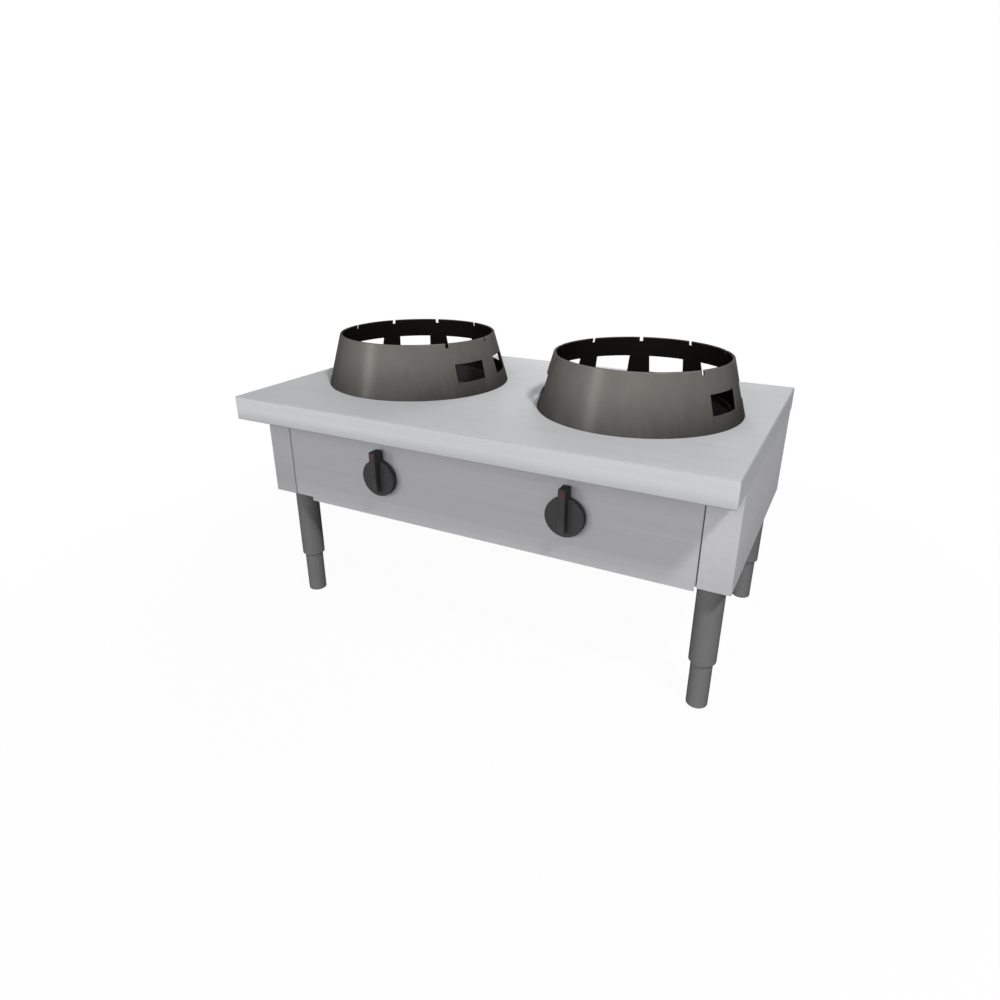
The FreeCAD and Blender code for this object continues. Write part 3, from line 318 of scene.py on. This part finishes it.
def bowl_surface(place):
    """Heat colours and near-black painted shade by the distance from the burner's axis, broken up by smears
    and burnt spots.
    """
    smear = place.noise(14.0, 5.0, 0.65)
    spots = place.noise(90.0, 3.0).step(0.62, 0.72)
    # Painted shade: the bowls are near-black, as the shade inside the ring, besides their heat colours.
    heat = from_well(place).step(BOWL_RIM, BOWL_HOLE) * 0.7 + smear * 0.4
    tint = heat.add("ShaderNodeValToRGB", {"stops": [
        (0.15, (0.028, 0.026, 0.024)), (0.45, (0.021, 0.018, 0.015)),
        (0.65, (0.015, 0.012, 0.010)), (0.85, (0.010, 0.009, 0.009))]}, {"Fac": heat})
    return {
        "Base Color": spots.colour(tint, (0.008, 0.007, 0.006)),
        "Roughness": 0.34 + smear * 0.2 + spots * 0.25,
        "Normal": spots.bump(0.4, 0.0003),
    }


dress(
    finish("bowl_heat_stained_and_shaded_steel", {"Metallic": 0.2, "Specular IOR Level": 0.1}, bowl_surface),
    "burner_bowl_left", "burner_bowl_right")


# Legs: steel tube, 50 mm, with a thinner foot that slides in a nylon bush and is clamped by a screw.
# Both tubes have a dark grey satin coating, scuffed near the floor; the screws and nuts are zinc plated.
CORNERS = ("front_left", "front_right", "rear_left", "rear_right")
SCUFF_TOP = 0.035


def leg_surface(place):
    """Satin coating with an orange-peel bump, dusty and scuffed towards the floor.

    Scuffs are the strongest scratches, fading out from the floor up.
    """
    peel = place.noise(420.0, 2.0)
    cloud = place.noise(12.0, 4.0, 0.6)
    scratch = place.noise((260.0, 260.0, 18.0), 3.0)
    scuff = place.axis(2).step(SCUFF_TOP, 0.0) * scratch.step(0.54, 0.72)
    coat = (cloud * 0.7 + scratch * 0.3).colour((0.166, 0.166, 0.167), (0.220, 0.220, 0.221))
    return {
        "Base Color": (scuff * 0.35).colour(coat, (0.30, 0.29, 0.28)),
        "Roughness": 0.42 + cloud * 0.12 + scuff * 0.15,
        "Normal": peel.bump(0.20, 0.00012),
    }


def zinc_surface(place):
    """Zinc plating: cloudy, faintly blue and yellow, with tool marks."""
    cloud = place.noise(160.0, 3.0, 0.6)
    marks = place.noise(900.0, 2.0)
    return {
        "Base Color": cloud.colour((0.50, 0.51, 0.53), (0.66, 0.64, 0.58)),
        "Roughness": 0.26 + cloud * 0.16 + marks * 0.08,
        "Normal": marks.bump(0.15, 0.00005),
    }


def moulded_surface(dark, light, grain):
    """Moulded plastic: fine spark-eroded texture with so many grains in a metre, a little dust in it."""
    def surface(place):
        texture = place.noise(grain, 2.0)
        dust = place.noise(25.0, 4.0, 0.65)
        return {
            "Base Color": (texture * 0.3 + dust * 0.7).colour(dark, light),
            "Roughness": 0.40 + texture * 0.10 + dust * 0.12,
            "Normal": texture.bump(0.25, 0.00008),
        }
    return surface


DARK_GLOSS = {"Metallic": 0.08, "Specular IOR Level": 0.0, "Specular Tint": (0.0, 0.0, 0.0, 1.0)}
leg_coating = finish("leg_satin_coating", DARK_GLOSS, leg_surface)
zinc_plate = finish("zinc_plate", {"Metallic": 0.85}, zinc_surface)
nylon = finish(
    "bush_nylon", {"Metallic": 0.0}, moulded_surface((0.055, 0.055, 0.055), (0.095, 0.094, 0.092), 700.0))
for corner in CORNERS:
    dress(leg_coating, f"leg_tube_{corner}", f"leg_foot_{corner}")
dress(nylon, "leg_bushes")
dress(zinc_plate, "leg_nuts", "leg_lock_screws", "burner_bolts")


# Burners: a cast iron body with bell mouth, mixing tube and dished head, bolted to the burner rail.
# The brass cap with its ring of flame ports only rests on the head and lifts off for cleaning.
SIDES = {"left": -1, "right": 1}
SOOT_LOW_Z, SOOT_HIGH_Z = 0.40, 0.46


def casting_surface(place):
    """Sand-cast iron: coarse grain, rust bloom in patches, sooty towards the flame."""
    sand = place.noise(520.0, 3.0, 0.6)
    bloom = place.noise(18.0, 5.0, 0.65).step(0.48, 0.72)
    soot = place.axis(2).step(SOOT_LOW_Z, SOOT_HIGH_Z)
    iron = sand.colour((0.040, 0.039, 0.037), (0.085, 0.082, 0.078))
    rusty = (bloom * 0.55).colour(iron, (0.150, 0.070, 0.034))
    return {
        "Base Color": (soot * 0.6).colour(rusty, (0.016, 0.015, 0.014)),
        "Roughness": 0.58 + sand * 0.2,
        "Normal": sand.bump(0.5, 0.0004),
    }


def brass_surface(place):
    """Turned brass: fine tool marks under a cloudy brown tarnish."""
    cloud = place.noise(45.0, 5.0, 0.62)
    marks = place.noise(800.0, 2.0)
    tarnish = cloud.step(0.35, 0.75)
    return {
        "Base Color": tarnish.colour((0.66, 0.47, 0.20), (0.30, 0.19, 0.085)),
        "Roughness": 0.28 + tarnish * 0.2 + marks * 0.08,
        "Normal": marks.bump(0.15, 0.00006),
    }


brass = finish("brass_tarnished", {"Metallic": 1.0}, brass_surface)
burner_iron = finish("burner_cast_iron", {"Metallic": 0.25}, casting_surface)
for side in SIDES:
    dress(burner_iron, f"burner_casting_{side}")
    dress(brass, f"burner_cap_{side}", f"injector_{side}")
    dress(zinc_plate, f"air_shutter_{side}")


# Gas train: galvanised pipe from the inlet round to the manifold, brass taps clamped on it,
# and soft drawn tubes to the injectors, pilots and thermocouples.
def galvanised_surface(place):
    """Hot-dip zinc: flat crystals of different grey, dull between them."""
    cells = place.stretched(120.0)
    crystal = cells.add("ShaderNodeTexVoronoi", None, {"Vector": cells, "Scale": 1.0}, 1).axis(0)
    cloud = place.noise(20.0, 4.0, 0.6)
    return {
        "Base Color": (crystal * 0.5 + cloud * 0.5).colour((0.34, 0.35, 0.37), (0.56, 0.57, 0.58)),
        "Roughness": 0.38 + crystal * 0.16 + cloud * 0.1,
        "Normal": cloud.bump(0.1, 0.0003),
    }


def tube_surface(place):
    """Drawn tube: fine drawing marks under handling smears."""
    smear = place.noise(60.0, 4.0, 0.6)
    marks = place.noise(700.0, 2.0)
    return {
        "Base Color": smear.colour((0.52, 0.50, 0.47), (0.70, 0.69, 0.66)),
        "Roughness": 0.26 + smear * 0.14 + marks * 0.06,
        "Normal": marks.bump(0.12, 0.00005),
    }


galvanised = finish("pipe_galvanised", {"Metallic": 0.85}, galvanised_surface)
drawn_tube = finish("drawn_tube", {"Metallic": 0.95}, tube_surface)
dress(galvanised, "gas_manifold", "manifold_union", "manifold_brackets", "supply_pipe", "gas_inlet")
for side in SIDES:
    dress(drawn_tube, f"feed_tube_{side}", f"pilot_{side}", f"thermocouple_{side}")
    dress(brass, f"gas_tap_{side}", f"tap_thrust_ring_{side}", f"tap_spindle_{side}")


# Wok rings: conical iron castings that stand loose on the worktop round the spill lips.
# The front is closed to shield the cook; windows and rim notches round the rest let the burnt gas out.
RING_BASE, RING_TOP, RING_HEIGHT, RING_WALL = 0.196, 0.166, 0.105, 0.005
RING_FOOT_RADIUS, RING_FOOT_HEIGHT = 0.171, 0.005
WINDOW_HALF, WINDOW_LOW, WINDOW_HIGH = 0.036, 0.028, 0.064
NOTCH_HALF, NOTCH_LOW = 0.00325, 0.096
RING_SECTORS, WINDOWS = 10, 7
WINDOW_STEP = math.radians(36.8)
WINDOW_COLUMNS, NOTCH_COLUMNS, PIER_COLUMNS, PLAIN_COLUMNS = 8, 2, 5, 7
RING_SLOPE = (RING_BASE - RING_TOP) / RING_HEIGHT
RIM_Z = WORKTOP_Z + RING_HEIGHT
RING_DARK_Z, RING_PALE_Z = 0.477, 0.590
SOOT_AND_SHADE_FROM, SOOT_AND_SHADE_FULL = 0.0010, 0.0030
RUB_FROM, RUB_FULL = 0.0020, 0.0004
CAST_EDGE, SHARP_EDGE = 0.0011, math.radians(40)


def new_piece(name, points, quads, material, body, slot, *replaced):
    """Mesh piece from whole arrays, with its faces turned outwards, riding on a body."""
    mesh = bpy.data.meshes.new(name)
    mesh.from_pydata(points.reshape(-1, 3).tolist(), [], quads.reshape(-1, quads.shape[-1]).tolist())
    work = bmesh.new()
    work.from_mesh(mesh)
    bmesh.ops.remove_doubles(work, verts=work.verts, dist=1e-7)
    bmesh.ops.delete(work, geom=[v for v in work.verts if not v.link_faces], context="VERTS")
    bmesh.ops.recalc_face_normals(work, faces=work.faces)
    work.to_mesh(mesh)
    work.free()
    mesh.shade_smooth()
    mesh.materials.append(material)
    piece = bpy.data.objects.new(name, mesh)
    bpy.context.scene.collection.objects.link(piece)
    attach(piece, body)
    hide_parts(*replaced)
    return piece


def ring_columns():
    """Lines up the ring's wall, from angle to angle.

    Each line is (middle angle, half width): it stands at the middle angle plus the angle whose sine is
    the half width over the radius, so that windows and notches have parallel sides. Returns both for
    every column, the next line's, the share of the way to it, and the kind of wall after each column.
    """
    step = 2 * math.pi / RING_SECTORS
    lines = []
    for sector in range(RING_SECTORS):
        middle = sector * step
        turn = (sector + RING_SECTORS // 2) % RING_SECTORS - RING_SECTORS // 2
        if abs(turn) <= WINDOWS // 2:
            window = middle + turn * (WINDOW_STEP - step)
            lines.append((window, -WINDOW_HALF, WINDOW_COLUMNS, "window"))
            lines.append((window, WINDOW_HALF, PIER_COLUMNS, "wall"))
        else:
            lines.append((middle, 0.0, PLAIN_COLUMNS, "wall"))
        if min(abs(turn + 0.5), RING_SECTORS - abs(turn + 0.5)) <= WINDOWS / 2:
            lines.append((middle + step / 2, -NOTCH_HALF, NOTCH_COLUMNS, "notch"))
            lines.append((middle + step / 2, NOTCH_HALF, PIER_COLUMNS, "wall"))
        else:
            lines.append((middle + step / 2, 0.0, PLAIN_COLUMNS, "wall"))
    first = lines[0]
    ahead = lines[1:] + [(first[0] + 2 * math.pi, *first[1:])]
    rows = []
    for (base, half, count, kind), (next_base, next_half, _, _) in zip(lines, ahead):
        rows += [(base, half, next_base, next_half, i / count, kind) for i in range(count)]
    numbers = np.array([row[:5] for row in rows]).T
    return numbers, np.array([row[5] for row in rows])


def ring_shape(centre_x):
    """Ring as a closed profile carried round an upright axis.

    Rows go up the outer wall and down the inner one through the same heights; columns are the lines of
    ring_columns. Faces inside a window or notch are left out, and its sides join the two walls.
    """
    (base, half, next_base, next_half, share), kind = ring_columns()
    heights = np.array([
        0.0, WINDOW_LOW / 2, WINDOW_LOW, (WINDOW_LOW + WINDOW_HIGH) / 2,
        WINDOW_HIGH, (WINDOW_HIGH + NOTCH_LOW) / 2, NOTCH_LOW, RING_HEIGHT])
    inner_heights = heights.copy()
    inner_heights[0] = RING_FOOT_HEIGHT
    outer = RING_BASE - RING_SLOPE * heights
    inner = RING_BASE - RING_WALL - RING_SLOPE * inner_heights
    radius = np.concatenate([outer, inner[::-1], [RING_FOOT_RADIUS, RING_FOOT_RADIUS]])
    height = np.concatenate([heights, inner_heights[::-1], [RING_FOOT_HEIGHT, 0.0]])
    across = radius[:, None]
    here = base + np.arcsin(half / across)
    there = next_base + np.arcsin(next_half / across)
    angle = here * (1 - share) + there * share
    points = np.stack([
        centre_x + across * np.sin(angle), across * np.cos(angle),
        WORKTOP_Z + np.repeat(height[:, None], angle.shape[1], 1)], -1)
    rows, columns = angle.shape
    index = np.arange(rows * columns).reshape(rows, columns)
    right = np.roll(index, -1, 1)
    below = np.roll(index, -1, 0)
    cells = np.stack([index, right, np.roll(right, -1, 0), below], -1)

    levels = len(heights)
    tall = np.zeros(rows, bool)
    rim = np.zeros(rows, bool)
    for low in range(levels - 1):
        twin = 2 * levels - 2 - low
        tall[[low, twin]] = WINDOW_LOW <= heights[low] < WINDOW_HIGH
        rim[[low, twin]] = heights[low] >= NOTCH_LOW
    rim[levels - 1] = True
    gone = (tall[:, None] & (kind == "window")) | (rim[:, None] & (kind == "notch"))
    faces = [cells[~gone]]

    for name, low, high in (("window", WINDOW_LOW, WINDOW_HIGH), ("notch", NOTCH_LOW, RING_HEIGHT)):
        inside = kind == name
        starts = np.flatnonzero(inside & ~np.roll(inside, 1))
        ends = np.flatnonzero(~inside & np.roll(inside, 1))
        steps = [i for i in range(levels - 1) if low <= heights[i] < high]
        for column in (starts, ends):
            for i in steps:
                twin = 2 * levels - 1 - i
                jamb = (index[i, column], index[i + 1, column], index[twin - 1, column], index[twin, column])
                faces.append(np.stack(jamb, -1))
        sills = [steps[0]] + ([steps[-1] + 1] if high < RING_HEIGHT else [])
        for i in sills:
            twin = 2 * levels - 1 - i
            sill = (index[i, inside], right[i, inside], right[twin, inside], index[twin, inside])
            faces.append(np.stack(sill, -1))
    return points, np.concatenate(faces)


def ring_surface(place):
    """Seasoned cast iron: sand grain, brown-grey mottling and runs, soot and painted shade inside, a rubbed
    rim.

    The tone is a weighted sum of these, darker towards the foot, and painted darker as shade where the wall
    faces right.
    A point is inside where its distance from the axis, carried down the slope to the foot, is under the
    outer wall's.
    """
    z = place.axis(2)
    sand = place.noise(650.0, 3.0, 0.6)
    mottle = place.noise((30.0, 30.0, 22.0), 5.0, 0.62)
    runs = place.noise((70.0, 70.0, 5.0), 3.0)
    at_foot = from_well(place) + (z - WORKTOP_Z) * RING_SLOPE
    # Soot and painted shade: the inner wall is near-black.
    inside = at_foot.step(RING_BASE - SOOT_AND_SHADE_FROM, RING_BASE - SOOT_AND_SHADE_FULL)
    rubbed = z.step(RIM_Z - RUB_FROM, RIM_Z - RUB_FULL) * mottle.step(0.30, 0.55)
    # Painted shade: the wall is darker where it faces right.
    painted_shade_right = place.normal().axis(0).step(-0.1, 0.95)
    pale = z.step(RING_DARK_Z, RING_PALE_Z)
    tone = sand * 0.15 + mottle * 0.2 + runs * 0.15 + pale * 0.6 - painted_shade_right * 0.18
    iron = tone.colour((0.029, 0.027, 0.024), (0.189, 0.183, 0.168))
    sooty_and_shaded = inside.colour(iron, (0.012, 0.011, 0.010))
    return {
        "Base Color": (rubbed * 0.5).colour(sooty_and_shaded, (0.22, 0.215, 0.20)),
        "Roughness": 0.235 + sand * 0.06 + mottle * 0.06 + inside * 0.32,
        "Normal": (sand * 0.7 + mottle * 0.3).bump(0.16, 0.00035),
    }


ring_iron = finish("ring_seasoned_cast_iron", DARK_GLOSS | {"Metallic": 0.16}, ring_surface)
for side, way in SIDES.items():
    ring = new_piece(
        f"cast_wok_ring_{side}", *ring_shape(way * WELL_X), ring_iron,
        f"wok_ring_{side}", "cast_iron", f"wok_ring_{side}")
    soft_edge = ring.modifiers.new("cast_edges", "BEVEL")
    soft_edge.width = CAST_EDGE
    soft_edge.segments = 2
    soft_edge.limit_method = "ANGLE"
    soft_edge.angle_limit = SHARP_EDGE
    soft_edge.harden_normals = True


# Knobs: black moulded discs with a straight lever grip, pushed on the tap's flattened spindle.
# A small red inlay at the grip's nose shows where the knob points.
def mark_surface(place):
    """Dark red enamel with a little dirt."""
    dirt = place.noise(220.0, 3.0, 0.6)
    return {
        "Base Color": dirt.colour((0.105, 0.014, 0.013), (0.060, 0.010, 0.009)),
        "Roughness": 0.34 + dirt * 0.15,
        "Normal": dirt.bump(0.1, 0.00005),
    }


knob_plastic = finish(
    "knob_black_plastic", DARK_GLOSS, moulded_surface((0.060, 0.060, 0.060), (0.100, 0.100, 0.100), 900.0))
mark_enamel = finish("mark_red_enamel", {"Metallic": 0.0}, mark_surface)
for side in SIDES:
    dress(knob_plastic, f"knob_{side}")
    dress(mark_enamel, f"knob_mark_{side}")


# Screws: zinc-plated pan heads with a cross recess, self-tapping into the folded flanges.
# They hold the worktop from below, the back panel from behind and the front panel from under its rail.
SCREW_RADIUS, SCREW_LENGTH, SCREW_TIP = 0.0020, 0.0070, 0.0015
HEAD_RADIUS, HEAD_HEIGHT, HEAD_RIM_SHARE = 0.0040, 0.0024, 0.35
RECESS_DEPTH, RECESS_ARM, RECESS_REACH = 0.0013, 0.0006, 0.62
SCREW_GAP = 3 * HEAD_RADIUS
SCREW_TURNS, CROWN_ROWS = 32, 12
SCREW_WAYS = {
    "worktop_screws": (0.0, 0.0, 1.0),
    "front_panel_screws": (0.0, 0.0, 1.0),
    "back_panel_screws": (0.0, -1.0, 0.0),
}


def screw_shapes(seats, way):
    """Screws as one profile carried round each axis; the crown dips where the cross recess is.

    The crown falls off as a quarter ellipse from its middle to the rim. The recess is deepest along the
    middle of the cross's arms, and runs out at RECESS_REACH of the head's radius.
    """
    turns = np.linspace(0, 2 * np.pi, SCREW_TURNS, endpoint=False)
    crown = np.linspace(0.0, 1.0, CROWN_ROWS)
    dome = HEAD_HEIGHT * (HEAD_RIM_SHARE + (1 - HEAD_RIM_SHARE) * np.sqrt(1 - 0.96 * crown ** 2))
    radius = np.concatenate([crown * HEAD_RADIUS, [HEAD_RADIUS, SCREW_RADIUS, SCREW_RADIUS, 0.0]])
    rise = np.concatenate([dome, [0.0, 0.0, SCREW_TIP - SCREW_LENGTH, -SCREW_LENGTH]])
    u = radius[:, None] * np.cos(turns)
    v = radius[:, None] * np.sin(turns)
    arm = np.clip(1 - np.minimum(abs(u), abs(v)) / RECESS_ARM, 0, 1)
    reach = np.clip(1 - np.hypot(u, v) / (RECESS_REACH * HEAD_RADIUS), 0, 1)
    crowned = (np.arange(len(radius)) < len(crown))[:, None]
    w = rise[:, None] - crowned * RECESS_DEPTH * np.sqrt(arm) * np.minimum(reach * 3, 1)
    u_way = np.array([1.0, 0.0, 0.0])
    v_way = np.cross(way, u_way)
    local = u[..., None] * u_way + v[..., None] * v_way - w[..., None] * way
    rows, columns = radius.size, turns.size
    index = np.arange(rows * columns).reshape(rows, columns)
    right = np.roll(index, -1, 1)
    quads = np.stack([index[:-1], right[:-1], right[1:], index[1:]], -1).reshape(-1, 4)
    points = seats[:, None, None, :] + local
    shift = (np.arange(len(seats)) * rows * columns)[:, None, None]
    return points, quads + shift


def clusters(points, axis):
    """Splits points wherever there is a wide gap between them along an axis."""
    ordered = points[np.argsort(points[:, axis])]
    return np.split(ordered, np.flatnonzero(np.diff(ordered[:, axis]) > SCREW_GAP) + 1)


def screw_seats(node, way):
    """Where the heads of a node's screws sit.

    It is the middle of each screw's box, moved along the screw's way until it lies a head's height
    behind the outermost point of all the heads.
    """
    mesh = frame["nodes"][node].data
    points = np.zeros(len(mesh.vertices) * 3, np.float32)
    mesh.vertices.foreach_get("co", points)
    points = points.reshape(-1, 3).astype(float)
    first, second = np.flatnonzero(np.abs(way) < 0.5)
    screws = [screw for row in clusters(points, first) for screw in clusters(row, second)]
    middles = np.array([(screw.min(0) + screw.max(0)) / 2 for screw in screws])
    top = (points @ way).min()
    return middles + np.outer(top + HEAD_HEIGHT - middles @ way, way)


for node, way in SCREW_WAYS.items():
    way = np.array(way)
    new_piece(
        f"cross_head_{node}", *screw_shapes(screw_seats(node, way), way), zinc_plate, "chassis",
        "zinc_plated_steel", node)


# Studio: a pale floor that runs out to white, a key lamp at the upper right, a broad fill from the front,
# a small softbox at the left, a broad light from behind and a softbox over the rear.
# None of it belongs to the range.
FLOOR_REACH, FLOOR_Z = 60.0, -0.0004
FLOOR_WHITE, FLOOR_WHITE_FROM, FLOOR_WHITE_TO = 0.962, 0.6, 1.5
AMBIENT = 0.05


def background_rays(tree):
    """1 for rays that see the background: from the camera, or through a reflection or refraction."""
    rays = tree.nodes.new("ShaderNodeLightPath")
    seen = Socket(tree, rays.outputs["Is Camera Ray"])
    for kind in ("Is Glossy Ray", "Is Transmission Ray"):
        seen = seen.math("MAXIMUM", seen, Socket(tree, rays.outputs[kind]))
    return seen


def floor_plane():
    """Square floor under the feet, white where it is seen and grey in the light that it gives back.

    The seen floor is a mix of matt paint and even white, with more white further from the range.
    """
    mesh = bpy.data.meshes.new("studio_floor")
    corners = [(-1, -1), (1, -1), (1, 1), (-1, 1)]
    mesh.from_pydata([(x * FLOOR_REACH, y * FLOOR_REACH, FLOOR_Z) for x, y in corners], [], [(0, 1, 2, 3)])
    plane = bpy.data.objects.new("studio_floor", mesh)
    bpy.context.scene.collection.objects.link(plane)
    material = bpy.data.materials.new("studio_floor")
    material.use_nodes = True
    tree = material.node_tree
    tree.nodes.clear()
    place = Socket(tree, tree.nodes.new("ShaderNodeTexCoord").outputs["Object"])
    seen = background_rays(tree)
    far = ((place.axis(0) ** 2 + place.axis(1) ** 2) ** 0.5).step(FLOOR_WHITE_FROM, FLOOR_WHITE_TO)
    white = seen * (FLOOR_WHITE + far * (1 - FLOOR_WHITE))
    pale = seen.colour((0.30, 0.30, 0.30), (0.95, 0.95, 0.95))
    matt = place.add("ShaderNodeBsdfDiffuse", None, {"Color": pale})
    glow = place.add("ShaderNodeEmission", None, {"Color": (1.0, 1.0, 1.0, 1.0), "Strength": 1.0})
    both = place.add("ShaderNodeMixShader", None, {0: white, 1: matt, 2: glow})
    tree.links.new(both.out, tree.nodes.new("ShaderNodeOutputMaterial").inputs["Surface"])
    mesh.materials.append(material)
    return plane


floor_plane()

world = bpy.data.worlds.new("studio_white")
bpy.context.scene.world = world
world.use_nodes = True
seen = background_rays(world.node_tree)
back = world.node_tree.nodes["Background"]
back.inputs["Color"].default_value = (1.0, 1.0, 1.0, 1.0)
world.node_tree.links.new((AMBIENT + seen * (1 - AMBIENT)).out, back.inputs["Strength"])

# Each sun has the way to it, its strength and its width in degrees.
# A near lamp also has the point that it is aimed at and its distance from there.
SUNS = {
    "fill": ((0.05, -0.962, 0.259), 1.37, 50.0),
    "softbox": ((-0.600, -0.773, 0.206), 0.45, 12.0),
    "behind": ((-0.42, 0.90, 0.01), 1.20, 24.0),
}
NEAR_LAMPS = {
    "key": ((0.4575, -0.368, 0.79), 2.18, 7.5, (0.47, -0.225, 0.40), 3.6),
    "rear_softbox": ((0.13, 0.50, 0.40), 1.62, 30.0, (-0.09, 0.22, 0.50), 0.66),
}
MIRRORED = ("key", "softbox", "behind")


def studio_lamp(name, kind, towards):
    """Lamp turned to shine back along towards, which runs from the range to the lamp.

    It tilts by the angle whose cosine is the way's height, and turns with the way's azimuth.
    """
    lamp = bpy.data.lights.new(f"studio_{name}", kind)
    holder = bpy.data.objects.new(f"studio_{name}", lamp)
    way = np.array(towards) / np.linalg.norm(towards)
    holder.rotation_euler = (math.acos(way[2]), 0.0, math.atan2(way[1], way[0]) + math.pi / 2)
    holder.visible_glossy = name in MIRRORED
    holder.visible_camera = False
    bpy.context.scene.collection.objects.link(holder)
    return holder, way


for name, (towards, strength, width) in SUNS.items():
    sun = studio_lamp(name, "SUN", towards)[0].data
    sun.energy = strength
    sun.angle = math.radians(width)
for name, (towards, strength, width, aim, distance) in NEAR_LAMPS.items():
    holder, way = studio_lamp(name, "AREA", towards)
    holder.location = np.array(aim) + distance * way
    holder.data.energy = strength * math.pi * distance ** 2
    holder.data.shape = "DISK"
    holder.data.size = distance * math.radians(width)


# Camera: stands to the cook's right and looks down on the range, as in the photograph.
# Its place, its turn to the left and its tilt down were fitted to the range's straight edges there.
CAMERA_PLACE = (0.6262, -1.2800, 0.8676)
CAMERA_LENS, CAMERA_SENSOR = 25.12, 36.0
CAMERA_TURN, CAMERA_DOWN = math.radians(27.84), math.radians(23.30)

camera = bpy.data.cameras.new("photo_camera")
camera.lens = CAMERA_LENS
camera.sensor_width = CAMERA_SENSOR
camera_holder = bpy.data.objects.new("photo_camera", camera)
camera_holder.location = CAMERA_PLACE
camera_holder.rotation_euler = (math.pi / 2 - CAMERA_DOWN, 0.0, CAMERA_TURN)
bpy.context.scene.collection.objects.link(camera_holder)
bpy.context.scene.camera = camera_holder
bpy.context.scene.view_settings.view_transform = "Standard"
